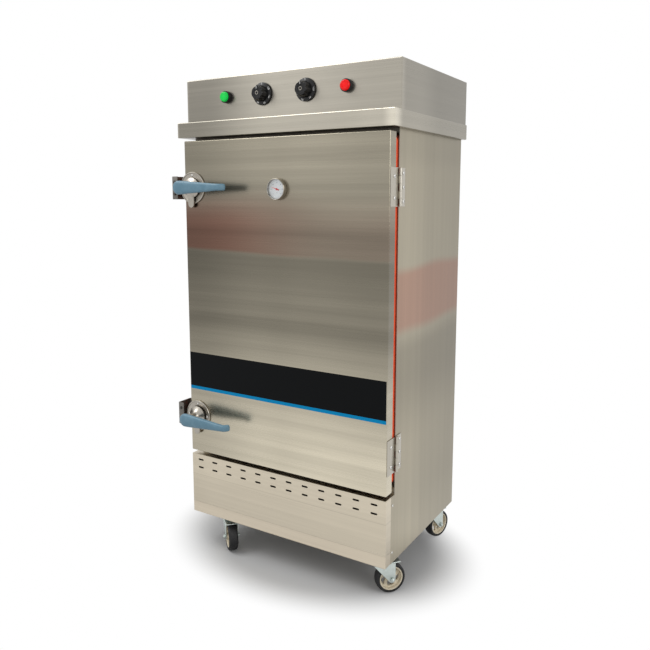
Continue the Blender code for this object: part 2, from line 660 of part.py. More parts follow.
def knob(name, x):
    """One control knob, turned about the axis of its shaft."""
    axis = axis_empty(f"{name}_axis", cabinet,
                      (x, CONTROL_FRONT_Y - BUSH_PROUD - KNOB_CLEARANCE, CONTROL_ROW_Z))
    reach = SHAFT_REACH - KNOB_CLEARANCE - BUSH_PROUD
    piece = turned(name, [
        (0, KNOB_HEIGHT - KNOB_DISH),
        (KNOB_DISH_RADIUS, KNOB_HEIGHT - KNOB_DISH),
        (KNOB_DISH_RADIUS, KNOB_HEIGHT),
        (KNOB_TOP_RADIUS - KNOB_CROWN, KNOB_HEIGHT),
        (KNOB_TOP_RADIUS, KNOB_HEIGHT - KNOB_CROWN),
        (KNOB_RADIUS, KNOB_SKIRT),
        (KNOB_SKIRT_RADIUS - KNOB_CROWN, KNOB_SKIRT),
        (KNOB_SKIRT_RADIUS, KNOB_SKIRT - KNOB_CROWN),
        (KNOB_SKIRT_RADIUS, 0),
        (SHAFT_RADIUS, 0),
        (SHAFT_RADIUS, -reach),
        (0, -reach)], KNOB_STEPS, black_plastic, axis, (0, 0, 0), TO_FRONT)
    flute_length = KNOB_HEIGHT - KNOB_SKIRT + OVERRUN
    flute_y = -KNOB_SKIRT - KNOB_DISH - flute_length / 2
    flute_ring = KNOB_RADIUS + FLUTE_RADIUS - FLUTE_SINK
    flutes = bmesh.new()
    for i in range(FLUTE_COUNT):
        turn = tau * (i + 0.5) / FLUTE_COUNT
        bmesh.ops.create_cone(flutes, cap_ends=True, segments=FLUTE_SIDES,
                              radius1=FLUTE_RADIUS, radius2=FLUTE_RADIUS, depth=flute_length,
                              matrix=Matrix.Translation((flute_ring * cos(turn),
                                                         flute_ring * sin(turn), 0)))
    cut(piece, mesh_object(f"{name}_flutes", flutes), (0, flute_y, 0), TO_FRONT)
    rib_low = (-POINTER_HALF_WIDTH, -KNOB_HEIGHT - POINTER_PROUD, 0)
    rib_high = (POINTER_HALF_WIDTH, -KNOB_SKIRT - KNOB_DISH, KNOB_TOP_RADIUS + POINTER_PROUD)
    rib_inner = (0, 0, KNOB_DISH_RADIUS + POINTER_HALF_WIDTH)
    rib_low = tuple(Vector(rib_low) + Vector(rib_inner))
    join(piece, box_shape(f"{name}_pointer", rib_low, rib_high), middle(rib_low, rib_high))
    return piece


knob("timer_knob", -KNOB_X)
knob("thermostat_knob", KNOB_X)

# Indicator lamps: a black bezel whose barrel goes through the panel, and a
# coloured lens pressed on its front

LAMP_BEZEL_RADIUS = 0.0160
LAMP_BEZEL = 0.0050
LAMP_BARREL_LENGTH = 0.032
LENS_RADIUS = 0.0140
LENS_FOOT_RADIUS = 0.0145
LENS_HEIGHT = 0.0150
LENS_ROUND = 0.0030
LAMP_STEPS = 20
LENS_ROUND_STEPS = 2


def lamp(name, x, lens_material):
    """One indicator lamp."""
    front = (x, CONTROL_FRONT_Y, CONTROL_ROW_Z)
    turned(f"{name}_bezel", [
        (0, LAMP_BEZEL + FIT),
        (LAMP_BEZEL_RADIUS - LAMP_BEZEL / 3, LAMP_BEZEL + FIT),
        (LAMP_BEZEL_RADIUS, LAMP_BEZEL * 2 / 3),
        (LAMP_BEZEL_RADIUS, FIT),
        (LAMP_BARREL_RADIUS, FIT),
        (LAMP_BARREL_RADIUS, -LAMP_BARREL_LENGTH),
        (0, -LAMP_BARREL_LENGTH)], LAMP_STEPS, black_plastic, cabinet, front, TO_FRONT)
    foot = LAMP_BEZEL + 2 * FIT
    crown = arc((LENS_RADIUS - LENS_ROUND, foot + LENS_HEIGHT - LENS_ROUND), LENS_ROUND,
                pi / 2, 0, LENS_ROUND_STEPS)
    turned(f"{name}_lens", [(0, foot + LENS_HEIGHT)] + crown
           + [(LENS_FOOT_RADIUS, foot), (0, foot)],
           LAMP_STEPS, lens_material, cabinet, front, TO_FRONT)


lamp("green_lamp", -LAMP_X, green_lens)
lamp("red_lamp", LAMP_X, red_lens)

# Cable gland on the back of the control box, for a cord that is not fitted

GLAND_FLANGE_RADIUS = 0.014
GLAND_FLANGE = 0.006
GLAND_DOME_RADIUS = 0.011
GLAND_DOME_SHARE = 0.8
GLAND_LENGTH = 0.024
GLAND_BORE_RADIUS = 0.0045
GLAND_INSIDE = 0.010
GLAND_STEPS = 12

turned("cable_gland", [
    (GLAND_BORE_RADIUS, GLAND_LENGTH),
    (GLAND_DOME_RADIUS * GLAND_DOME_SHARE, GLAND_LENGTH),
    (GLAND_DOME_RADIUS, GLAND_LENGTH * GLAND_DOME_SHARE),
    (GLAND_DOME_RADIUS, GLAND_FLANGE),
    (GLAND_FLANGE_RADIUS, GLAND_FLANGE),
    (GLAND_FLANGE_RADIUS, FIT),
    (GLAND_RADIUS, FIT),
    (GLAND_RADIUS, -GLAND_INSIDE),
    (GLAND_BORE_RADIUS, -GLAND_INSIDE)],
    GLAND_STEPS, black_plastic, cabinet, (GLAND_X, CABINET_DEPTH, CONTROL_ROW_Z), TO_BACK,
    closed=True)

# Base: a vented skirt over a plain rail, both folded round the sides, with a
# pan behind them that the casters are bolted to

RAIL_HEIGHT = 0.036
SKIRT_EDGE = 0.0020
BASE_BACK_Y = FRAME_SHEET
SLOT_COUNT = 12
SLOT_ROW_INSET = 0.0365
SLOT_LENGTH = 0.0225
SLOT_HEIGHT = 0.0055
SLOT_UPPER_DROP = 0.017
SLOT_ROW_PITCH = 0.026
SLOT_END_STEPS = 2
SLOT_PITCH = (CABINET_WIDTH - 2 * SLOT_ROW_INSET) / (SLOT_COUNT - 1)
PAN_SHEET = 0.0020
PAN_RIM = 0.030
PAN_EDGE = 0.0025

skirt_bottom = BASE_HEIGHT + RAIL_HEIGHT
skirt = open_box("vent_skirt",
                 (-HALF_WIDTH, DOOR_FRONT_Y, skirt_bottom + FIT),
                 (HALF_WIDTH, BASE_BACK_Y, SKIRT_TOP),
                 [BACK, BOTTOM], SHEET, SKIRT_EDGE, brushed_steel, cabinet)


def slot_outline(x, z):
    """A slot with round ends, about its middle."""
    radius = SLOT_HEIGHT / 2
    reach = SLOT_LENGTH / 2 - radius
    return (arc((x + reach, z), radius, -pi / 2, pi / 2, SLOT_END_STEPS)
            + arc((x - reach, z), radius, pi / 2, 3 * pi / 2, SLOT_END_STEPS))


slots = []
for row in range(2):
    for column in range(SLOT_COUNT):
        slot_x = SLOT_PITCH * (column - (SLOT_COUNT - 1) / 2)
        slots.append(slot_outline(slot_x, SKIRT_TOP - SLOT_UPPER_DROP - SLOT_ROW_PITCH * row))
cut(skirt, plate_shape("skirt_slots", slots, SHEET + OVERRUN), (0, DOOR_FRONT_Y, 0), TO_FRONT)

rail = open_box("base_rail",
                (-HALF_WIDTH, DOOR_FRONT_Y, BASE_HEIGHT),
                (HALF_WIDTH, BASE_BACK_Y, skirt_bottom),
                [BACK, TOP], SHEET, SKIRT_EDGE, brushed_steel, cabinet)

# Both stop at the side seam, where the side sheets come forward to meet them
for folded, name, low_z, high_z in (
        (skirt, "skirt", BASE_HEIGHT, SKIRT_TOP - SHEET),
        (rail, "rail", BASE_HEIGHT - OVERRUN, skirt_bottom + OVERRUN)):
    for side, sign in (("left", -1), ("right", 1)):
        near_x, far_x = sign * INNER_HALF_WIDTH, sign * (HALF_WIDTH + OVERRUN)
        notch_low = (min(near_x, far_x), side_seam_y, low_z)
        notch_high = (max(near_x, far_x), BASE_BACK_Y + OVERRUN, high_z)
        cut(folded, box_shape(f"{name}_{side}_notch", notch_low, notch_high),
            middle(notch_low, notch_high))

open_box("base_pan",
         (-INNER_HALF_WIDTH, PANEL_FRONT_Y, BASE_HEIGHT),
         (INNER_HALF_WIDTH, CABINET_DEPTH - SHEET - FIT, BASE_HEIGHT + PAN_RIM),
         [TOP], PAN_SHEET, PAN_EDGE, dull_steel, cabinet)

# Door: a folded outer skin with an inner pan set into its back, an orange
# seal round the edge, and everything that hangs on it. The door turns on the
# pins of its two hinges, just outside the right-hand wall

HINGE_RADIUS = 0.0047
HINGE_X = HALF_WIDTH + FIT + HINGE_RADIUS
HINGE_Y = 0.0
DOOR_EDGE = 0.0025
DOOR_LINER_RIM = 0.022
THERMOMETER_X = 0.0
THERMOMETER_DROP = 0.147
THERMOMETER_Z = DOOR_TOP - THERMOMETER_DROP
STEM_RADIUS = 0.0040
STEM_HOLE_RADIUS = 0.0045

door_axis_at = Vector((HINGE_X, HINGE_Y, 0))
door_axis = axis_empty("door_axis", cabinet, door_axis_at)

door_skin = open_box("door_skin",
                     (-HALF_WIDTH, DOOR_FRONT_Y, DOOR_BOTTOM), (HALF_WIDTH, DOOR_BACK_Y, DOOR_TOP),
                     [BACK], SHEET, DOOR_EDGE, brushed_steel, door_axis, door_axis_at, segments=3)
door_liner = open_box("door_liner",
                      (-INNER_HALF_WIDTH, DOOR_BACK_Y - DOOR_LINER_RIM, DOOR_BOTTOM + SHEET + FIT),
                      (INNER_HALF_WIDTH, DOOR_BACK_Y, DOOR_TOP - SHEET - FIT),
                      [FRONT], SHEET, DOOR_EDGE, dull_steel, door_axis, door_axis_at)
for wall, name, front_y, back_y in (
        (door_skin, "skin_stem_hole", DOOR_FRONT_Y, DOOR_FRONT_Y + SHEET),
        (door_liner, "liner_stem_hole", DOOR_BACK_Y - SHEET, DOOR_BACK_Y)):
    drill(wall, name, STEM_HOLE_RADIUS, (THERMOMETER_X, front_y, THERMOMETER_Z),
          (THERMOMETER_X, back_y, THERMOMETER_Z), PIPE_SIDES, door_axis_at)

GASKET_SIDE_INSET = 0.0035
GASKET_TOP_INSET = 0.008
GASKET_BOTTOM_INSET = 0.018
GASKET_WIDTH = 0.014
GASKET_CORNER = 0.016
CORNER_STEPS = 3
GASKET_EDGE = 0.0030

gasket_thickness = GASKET_DEPTH - 2 * FIT
gasket_low = (-HALF_WIDTH + GASKET_SIDE_INSET, DOOR_BOTTOM + GASKET_BOTTOM_INSET)
gasket_high = (HALF_WIDTH - GASKET_SIDE_INSET, DOOR_TOP - GASKET_TOP_INSET)
gasket = plate("door_gasket", [
    rounded_rectangle(gasket_low, gasket_high, GASKET_CORNER, CORNER_STEPS),
    rounded_rectangle((gasket_low[0] + GASKET_WIDTH, gasket_low[1] + GASKET_WIDTH),
                      (gasket_high[0] - GASKET_WIDTH, gasket_high[1] - GASKET_WIDTH),
                      GASKET_CORNER - GASKET_WIDTH / 2, CORNER_STEPS)],
    gasket_thickness, silicone, door_axis,
    Vector((0, DOOR_BACK_Y / 2, 0)) - door_axis_at, TO_FRONT)
round_edges(gasket, GASKET_EDGE, 1, sharp=60)

# Hinges: two leaves each, rolled into five knuckles about one pin. Knuckles
# one, three and five and the pin belong to the cabinet's leaf, two and four
# to the door's leaf

HINGE_LENGTH = 0.101
LOWER_HINGE_RISE = 0.1075
UPPER_HINGE_DROP = 0.1435
LOWER_HINGE_Z = DOOR_BOTTOM + LOWER_HINGE_RISE
UPPER_HINGE_Z = DOOR_TOP - UPPER_HINGE_DROP
KNUCKLE_COUNT = 5
KNUCKLE_GAP = 0.0004
LEAF_SHEET = 0.0020
LEAF_SINK = 0.0001
PIN_RADIUS = 0.0022
LEAF_START = 0.0056
FIXED_LEAF_REACH = 0.034
DOOR_LEAF_REACH = 0.0505
KNUCKLE_SIDES = 14
FINGER_INSET = 0.0003


def comb_outline(reach, knuckles, sign):
    """A leaf seen from the side: a plate with a finger to each knuckle. Its
    first coordinate is Y from the pin, its second Z from the hinge's middle."""
    bottom, top = -HINGE_LENGTH / 2, HINGE_LENGTH / 2
    pitch = HINGE_LENGTH / KNUCKLE_COUNT
    points = [(sign * reach, bottom), (sign * LEAF_START, bottom)]
    for knuckle in knuckles:
        low = bottom + pitch * knuckle + KNUCKLE_GAP / 2 + FINGER_INSET
        high = bottom + pitch * (knuckle + 1) - KNUCKLE_GAP / 2 - FINGER_INSET
        points += [(sign * LEAF_START, low), (0, low), (0, high), (sign * LEAF_START, high)]
    points += [(sign * LEAF_START, top), (sign * reach, top)]
    return points


def hinge_leaf(name, reach, knuckles, sign, parent, at):
    """A leaf plate flat on its wall, with its knuckles rolled round the pin."""
    pitch = HINGE_LENGTH / KNUCKLE_COUNT
    plate_middle = Vector((-HINGE_RADIUS + LEAF_SINK + LEAF_SHEET / 2, 0, 0))
    leaf = plate(name, [comb_outline(reach, knuckles, sign)], LEAF_SHEET, dull_steel,
                 parent, at + plate_middle, TO_RIGHT)
    for knuckle in knuckles:
        height = -HINGE_LENGTH / 2 + pitch * (knuckle + 0.5)
        join(leaf, rod_shape(f"{name}_knuckle_{knuckle + 1}", HINGE_RADIUS, pitch - KNUCKLE_GAP,
                             KNUCKLE_SIDES), at + Vector((0, 0, height)))
    return leaf


for level, height in (("lower", LOWER_HINGE_Z), ("upper", UPPER_HINGE_Z)):
    pin_at = Vector((HINGE_X, HINGE_Y, height))
    fixed = hinge_leaf(f"{level}_hinge_fixed_leaf", FIXED_LEAF_REACH, (0, 2, 4), 1, cabinet, pin_at)
    join(fixed, rod_shape(f"{level}_hinge_pin", PIN_RADIUS, HINGE_LENGTH - KNUCKLE_GAP * 2,
                          PIPE_SIDES), pin_at)
    moving = hinge_leaf(f"{level}_hinge_door_leaf", DOOR_LEAF_REACH, (1, 3), -1, door_axis,
                        pin_at - door_axis_at)
    cut(moving, bit_shape(f"{level}_hinge_bore", PIN_RADIUS + FIT, HINGE_LENGTH + OVERRUN,
                          PIPE_SIDES), pin_at - door_axis_at)

# Latches: a round flange screwed to the door, an arm that turns in it and
# carries a tongue, and a tapered plastic grip whose end turns back towards
# the door. The tongue swings behind the front wall of the keeper

LATCH_INSET = 0.0320
LATCH_X = LATCH_INSET - HALF_WIDTH
LOWER_LATCH_RISE = 0.1200
UPPER_LATCH_DROP = 0.1410
LOWER_LATCH_Z = DOOR_BOTTOM + LOWER_LATCH_RISE
UPPER_LATCH_Z = DOOR_TOP - UPPER_LATCH_DROP
ROSETTE_RADIUS = 0.0480
ROSETTE_RIM = 0.0050
ROSETTE_RIM_WIDTH = 0.0045
ROSETTE_PLATE = 0.0030
ROSETTE_BOSS_RADIUS = 0.0150
ROSETTE_STEPS = 28
PIVOT_RADIUS = 0.0080
PIVOT_SINK = 0.0038
ARM_BASE_Y = 0.0060
ARM_BASE_RADIUS = 0.0300
ARM_RIM = 0.0040
ARM_WAIST_RADIUS = 0.0150
ARM_WAIST_Y = 0.0240
ARM_NECK_RADIUS = 0.0125
ARM_STEPS = 20
TONGUE_REACH = 0.0600
TONGUE_HALF_WIDTH = 0.0110
TONGUE_THICKNESS = 0.0050
TONGUE_END_STEPS = 6
SOCKET_DEPTH = 0.0070
SPIGOT_RADIUS = 0.0090

GRIP_RADIUS = 0.0200
GRIP_LENGTH = 0.1460
GRIP_END_HALF_HEIGHT = 0.0100
GRIP_END_HALF_THICKNESS = 0.0075
GRIP_BEND_RADIUS = 0.0140
GRIP_BEND = radians(70)
GRIP_TIP = 0.0080
GRIP_SIDES = 12
GRIP_END_STEPS = 4
GRIP_TAPER_STEPS = 2
GRIP_BEND_STEPS = 3
SQUARENESS = 0.62
ROUND_END_SHARE = 0.45
TIP_SHARES = ((0.7, 0.9), (1.0, 0.55))


def grip_stations():
    """Sections along the grip: its centre line in plan, the direction there,
    and half its height and thickness."""
    line_y = -GRIP_STANDOFF
    stations = []
    for i in range(1, GRIP_END_STEPS + 1):
        swing = (pi / 2) * i / GRIP_END_STEPS
        depth = ROUND_END_SHARE + (1 - ROUND_END_SHARE) * sin(swing)
        stations.append((-GRIP_RADIUS * cos(swing), line_y, 0,
                         GRIP_RADIUS * sin(swing), GRIP_HALF_THICKNESS * depth))
    for i in range(1, GRIP_TAPER_STEPS + 1):
        way = i / GRIP_TAPER_STEPS
        stations.append((GRIP_LENGTH * way, line_y, 0,
                         GRIP_RADIUS + (GRIP_END_HALF_HEIGHT - GRIP_RADIUS) * way,
                         GRIP_HALF_THICKNESS
                         + (GRIP_END_HALF_THICKNESS - GRIP_HALF_THICKNESS) * way))
    for i in range(1, GRIP_BEND_STEPS + 1):
        turn = GRIP_BEND * i / GRIP_BEND_STEPS
        stations.append((GRIP_LENGTH + GRIP_BEND_RADIUS * sin(turn),
                         line_y + GRIP_BEND_RADIUS * (1 - cos(turn)), turn,
                         GRIP_END_HALF_HEIGHT, GRIP_END_HALF_THICKNESS))
    last_x, last_y = stations[-1][:2]
    for way, share in TIP_SHARES:
        stations.append((last_x + GRIP_TIP * way * cos(GRIP_BEND),
                         last_y + GRIP_TIP * way * sin(GRIP_BEND), GRIP_BEND,
                         GRIP_END_HALF_HEIGHT * share, GRIP_END_HALF_THICKNESS * share))
    return stations


def swell(value, power):
    """A cosine or sine with its corners filled out."""
    return (abs(value) ** power) * (1 if value >= 0 else -1)


def grip_shape(name):
    """The grip as a loft through its sections, closed at both ends."""
    shape = bmesh.new()
    rings = []
    for x, y, turn, half_height, half_thickness in grip_stations():
        across = Vector((-sin(turn), cos(turn), 0))
        ring = []
        for k in range(GRIP_SIDES):
            angle = tau * k / GRIP_SIDES
            out = across * half_thickness * swell(cos(angle), SQUARENESS)
            up = Vector((0, 0, half_height * swell(sin(angle), SQUARENESS)))
            ring.append(shape.verts.new(Vector((x, y, 0)) + out + up))
        rings.append(ring)
    for near, far in zip(rings, rings[1:]):
        for k in range(GRIP_SIDES):
            j = (k + 1) % GRIP_SIDES
            shape.faces.new((near[k], near[j], far[j], far[k]))
    shape.faces.new(rings[0])
    shape.faces.new(rings[-1])
    return mesh_object(name, shape)


def tongue_outline():
    """The tongue seen from the front: a bar down from the pivot with a round
    end."""
    end = (0, -TONGUE_REACH + TONGUE_HALF_WIDTH)
    return ([(TONGUE_HALF_WIDTH, 0), (-TONGUE_HALF_WIDTH, 0)]
            + arc(end, TONGUE_HALF_WIDTH, pi, tau, TONGUE_END_STEPS))


def latch(level, height):
    """One latch on the door, and its keeper on the cabinet's left wall."""
    seat = Vector((LATCH_X, DOOR_FRONT_Y, height)) - door_axis_at
    turned(f"{level}_latch_flange", [
        (PIVOT_RADIUS + FIT, ARM_BASE_Y - FIT),
        (ROSETTE_BOSS_RADIUS, ARM_BASE_Y - FIT),
        (ROSETTE_BOSS_RADIUS, ROSETTE_PLATE + FIT),
        (ROSETTE_RADIUS - ROSETTE_RIM_WIDTH, ROSETTE_PLATE + FIT),
        (ROSETTE_RADIUS - ROSETTE_RIM_WIDTH, ROSETTE_RIM + FIT),
        (ROSETTE_RADIUS - ROSETTE_RIM_WIDTH / 3, ROSETTE_RIM + FIT),
        (ROSETTE_RADIUS, ROSETTE_PLATE + FIT),
        (ROSETTE_RADIUS, FIT),
        (PIVOT_RADIUS + FIT, FIT)], ROSETTE_STEPS, polished_steel, door_axis, seat, TO_FRONT,
        closed=True)

    axis = axis_empty(f"{level}_latch_axis", door_axis, seat)
    grip_back = GRIP_STANDOFF - GRIP_HALF_THICKNESS
    arm = turned(f"{level}_latch_arm", [
        (0, grip_back + SOCKET_DEPTH - FIT),
        (SPIGOT_RADIUS, grip_back + SOCKET_DEPTH - FIT),
        (SPIGOT_RADIUS, grip_back - FIT),
        (ARM_NECK_RADIUS, grip_back - FIT),
        (ARM_WAIST_RADIUS, ARM_WAIST_Y),
        (ARM_BASE_RADIUS, ARM_BASE_Y + ARM_RIM),
        (ARM_BASE_RADIUS, ARM_BASE_Y),
        (PIVOT_RADIUS, ARM_BASE_Y),
        (PIVOT_RADIUS, ARM_BASE_Y - PIVOT_SINK),
        (0, ARM_BASE_Y - PIVOT_SINK)], ARM_STEPS, polished_steel, axis, (0, 0, 0), TO_FRONT)
    tongue_y = -ARM_BASE_Y - FIT - TONGUE_THICKNESS / 2
    join(arm, plate_shape(f"{level}_tongue", [tongue_outline()], TONGUE_THICKNESS),
         (0, tongue_y, 0), TO_FRONT)

    grip = place(grip_shape(f"{level}_latch_grip"), blue_grip, axis, (0, 0, 0))
    socket_length = SOCKET_DEPTH + OVERRUN
    cut(grip, bit_shape(f"{level}_grip_socket", SPIGOT_RADIUS + FIT, socket_length, PIPE_SIDES),
        (0, -grip_back - SOCKET_DEPTH + socket_length / 2, 0), TO_FRONT)
    keeper(level, height)


# Keeper: one strip of thick sheet, flat on the left wall, bent out beside the
# door and round into a hook that opens towards the door

KEEPER_SHEET = 0.0030
KEEPER_HEIGHT = 0.070
KEEPER_FOOT_BACK_Y = 0.044
KEEPER_STEP_Y = -0.012
KEEPER_LIP = 0.0175
KEEPER_ROOM = 0.0020


def keeper(level, height):
    """The strip in plan, thickened on both sides of its middle line."""
    half = KEEPER_SHEET / 2
    wall_x = -HALF_WIDTH - FIT - half
    outer_x = -HALF_WIDTH - KEEPER_REACH + half
    front_y = (DOOR_FRONT_Y - ARM_BASE_Y - FIT - TONGUE_THICKNESS - KEEPER_ROOM) - half
    line = [(wall_x, KEEPER_FOOT_BACK_Y), (wall_x, KEEPER_STEP_Y), (outer_x, KEEPER_STEP_Y),
            (outer_x, front_y), (-HALF_WIDTH - KEEPER_LIP, front_y)]
    shape = bmesh.new()
    strip = []
    for x, y in line:
        strip.append([shape.verts.new((x, y, level_z))
                      for level_z in (-KEEPER_HEIGHT / 2, KEEPER_HEIGHT / 2)])
    for near, far in zip(strip, strip[1:]):
        shape.faces.new((near[0], far[0], far[1], near[1]))
    piece = place(mesh_object(f"{level}_keeper", shape), dull_steel, cabinet, (0, 0, height))
    wall = piece.modifiers.new("wall", "SOLIDIFY")
    wall.thickness = KEEPER_SHEET
    wall.offset = 0.0
    wall.use_even_offset = True
    return piece


latch("lower", LOWER_LATCH_Z)
latch("upper", UPPER_LATCH_Z)

# Thermometer: a bezel cup with a stem through the door, a white dial, a red
# needle on its own spindle and a glass

BEZEL_RADIUS = 0.0305
BEZEL_DEPTH = 0.0150
BEZEL_WALL = 0.0025
BEZEL_FLOOR = 0.0040
STEM_LENGTH = 0.110
STEM_TIP = 0.0030
DIAL_SHEET = 0.0010
NEEDLE_SHEET = 0.0008
NEEDLE_LIFT = 0.0014
NEEDLE_LENGTH = 0.0180
NEEDLE_TAIL = 0.0085
NEEDLE_HALF_WIDTH = 0.0011
NEEDLE_HUB_RADIUS = 0.0032
NEEDLE_HUB_STEPS = 5
SPINDLE_RADIUS = 0.0010
GLASS_SHEET = 0.0015
GLASS_SINK = 0.0012
THERMOMETER_STEPS = 28
NEEDLE_REST = radians(162)

thermometer_at = Vector((THERMOMETER_X, DOOR_FRONT_Y, THERMOMETER_Z))
thermometer_seat = thermometer_at - door_axis_at
well_radius = BEZEL_RADIUS - BEZEL_WALL
turned("thermometer_case", [
    (0, BEZEL_FLOOR),
    (well_radius, BEZEL_FLOOR),
    (well_radius, BEZEL_DEPTH),
    (BEZEL_RADIUS - BEZEL_WALL / 2, BEZEL_DEPTH),
    (BEZEL_RADIUS, BEZEL_DEPTH - BEZEL_WALL / 2),
    (BEZEL_RADIUS, FIT),
    (STEM_RADIUS, FIT),
    (STEM_RADIUS, STEM_TIP - STEM_LENGTH),
    (0, -STEM_LENGTH)], THERMOMETER_STEPS, polished_steel, door_axis, thermometer_seat, TO_FRONT)
dial_back = BEZEL_FLOOR + FIT
turned("thermometer_dial", [
    (SPINDLE_RADIUS + FIT, dial_back + DIAL_SHEET),
    (well_radius - FIT, dial_back + DIAL_SHEET),
    (well_radius - FIT, dial_back),
    (SPINDLE_RADIUS + FIT, dial_back)], THERMOMETER_STEPS, dial_white, door_axis,
    thermometer_seat, TO_FRONT, closed=True)
turned("thermometer_glass", [
    (0, BEZEL_DEPTH - GLASS_SINK),
    (well_radius - FIT, BEZEL_DEPTH - GLASS_SINK),
    (well_radius - FIT, BEZEL_DEPTH - GLASS_SINK - GLASS_SHEET),
    (0, BEZEL_DEPTH - GLASS_SINK - GLASS_SHEET)], THERMOMETER_STEPS, clear_glass, door_axis,
    thermometer_seat, TO_FRONT)

needle_axis = axis_empty("needle_axis", door_axis, thermometer_seat, (0, -NEEDLE_REST, 0))
needle_back = dial_back + DIAL_SHEET + NEEDLE_LIFT
spread = atan2(NEEDLE_HALF_WIDTH, NEEDLE_HUB_RADIUS)
needle_outline = (
    [(NEEDLE_LENGTH, 0)]
    + arc((0, 0), NEEDLE_HUB_RADIUS, spread, pi - spread, NEEDLE_HUB_STEPS)
    + [(-NEEDLE_TAIL, NEEDLE_HALF_WIDTH), (-NEEDLE_TAIL, -NEEDLE_HALF_WIDTH)]
    + arc((0, 0), NEEDLE_HUB_RADIUS, pi + spread, tau - spread, NEEDLE_HUB_STEPS))
needle = plate("thermometer_needle", [needle_outline], NEEDLE_SHEET, needle_red, needle_axis,
               (0, -needle_back - NEEDLE_SHEET / 2, 0), TO_FRONT)
spindle_length = needle_back + NEEDLE_SHEET / 2 - dial_back
join(needle, rod_shape("needle_spindle", SPINDLE_RADIUS, spindle_length, PIPE_SIDES),
     (0, -dial_back - spindle_length / 2, 0), TO_FRONT)

# Casters: a square top plate with a ball race, a pressed fork that swivels
# under it, and a wheel of cream plastic with a black tyre. Each fork stands
# turned as it was left

CASTER_LEFT_INSET = 0.106
CASTER_RIGHT_INSET = 0.048
CASTER_BACK_INSET = 0.078
CASTER_LEFT_X = CASTER_LEFT_INSET - HALF_WIDTH
CASTER_RIGHT_X = HALF_WIDTH - CASTER_RIGHT_INSET
CASTER_FRONT_Y = 0
CASTER_REAR_Y = CABINET_DEPTH - CASTER_BACK_INSET
FRONT_LEFT_TURN = radians(-41)
FRONT_RIGHT_TURN = radians(50)
REAR_LEFT_TURN = radians(200)
REAR_RIGHT_TURN = radians(71)
WHEEL_RADIUS = 0.0445
TYRE_HALF_WIDTH = 0.0150
TYRE_SHOULDER = 0.0055
SHOULDER_STEPS = 2
RIM_RADIUS = 0.0355
RIM_WALL = 0.0030
RIM_HALF_WIDTH = 0.0135
HUB_RADIUS = 0.0105
HUB_HALF_WIDTH = 0.0165
WEB_HALF_THICKNESS = 0.0025
WINDOW_COUNT = 5
WINDOW_INNER_RADIUS = 0.0145
WINDOW_OUTER_RADIUS = 0.0280
WINDOW_SWEEP = radians(44)
WINDOW_INNER_SWEEP = radians(26)
WINDOW_LEAN = radians(24)
WINDOW_STEPS = 2
AXLE_RADIUS = 0.0040
WHEEL_STEPS = 24

CASTER_PLATE = 0.0030
CASTER_PLATE_SIDE = 0.0620
CASTER_PLATE_CORNER = 0.0060
RACE_RADIUS = 0.0210
RACE_HEIGHT = 0.0100
RACE_ROUND = 0.0020
RACE_STEPS = 16

TRAIL = 0.0360
FORK_SHEET = 0.0025
FORK_INNER_HALF = 0.0180
CROWN_THICKNESS = 0.0030
CROWN_BACK = 0.0200
CROWN_AHEAD = 0.0260
BOSS_RADIUS = 0.0100
BOSS_STEPS = 4
NUT_RADIUS = 0.0070
NUT_THICKNESS = 0.0050
BOLT_END = 0.0030
HEX_SIDES = 6


def tyre_profile():
    """The tyre's section: a flat tread with round shoulders."""
    inner = RIM_RADIUS + FIT
    corner = WHEEL_RADIUS - TYRE_SHOULDER
    edge = TYRE_HALF_WIDTH - TYRE_SHOULDER
    top = arc((corner, edge), TYRE_SHOULDER, pi / 2, 0, SHOULDER_STEPS)
    bottom = arc((corner, -edge), TYRE_SHOULDER, 0, -pi / 2, SHOULDER_STEPS)
    return [(inner, TYRE_HALF_WIDTH)] + top + bottom + [(inner, -TYRE_HALF_WIDTH)]


def window_outline(turn):
    """One leaning window of the wheel's web, between two radii."""
    inner = arc((0, 0), WINDOW_INNER_RADIUS, turn, turn + WINDOW_INNER_SWEEP, 1)
    outer = arc((0, 0), WINDOW_OUTER_RADIUS, turn + WINDOW_LEAN + WINDOW_SWEEP,
                turn + WINDOW_LEAN, WINDOW_STEPS)
    return inner + outer


def fork_leg_outline(crown_z):
    """A fork leg from the side: wide under the crown, upright at its front
    edge and round about the axle."""
    axle = (TRAIL, WHEEL_RADIUS)
    back_foot = (-CROWN_BACK, crown_z)
    run = Vector((axle[0] - back_foot[0], axle[1] - back_foot[1]))
    lean = atan2(run.y, run.x) - pi / 2
    return [back_foot] + arc(axle, BOSS_RADIUS, lean, 0, BOSS_STEPS) + [
        (TRAIL + BOSS_RADIUS, crown_z)]


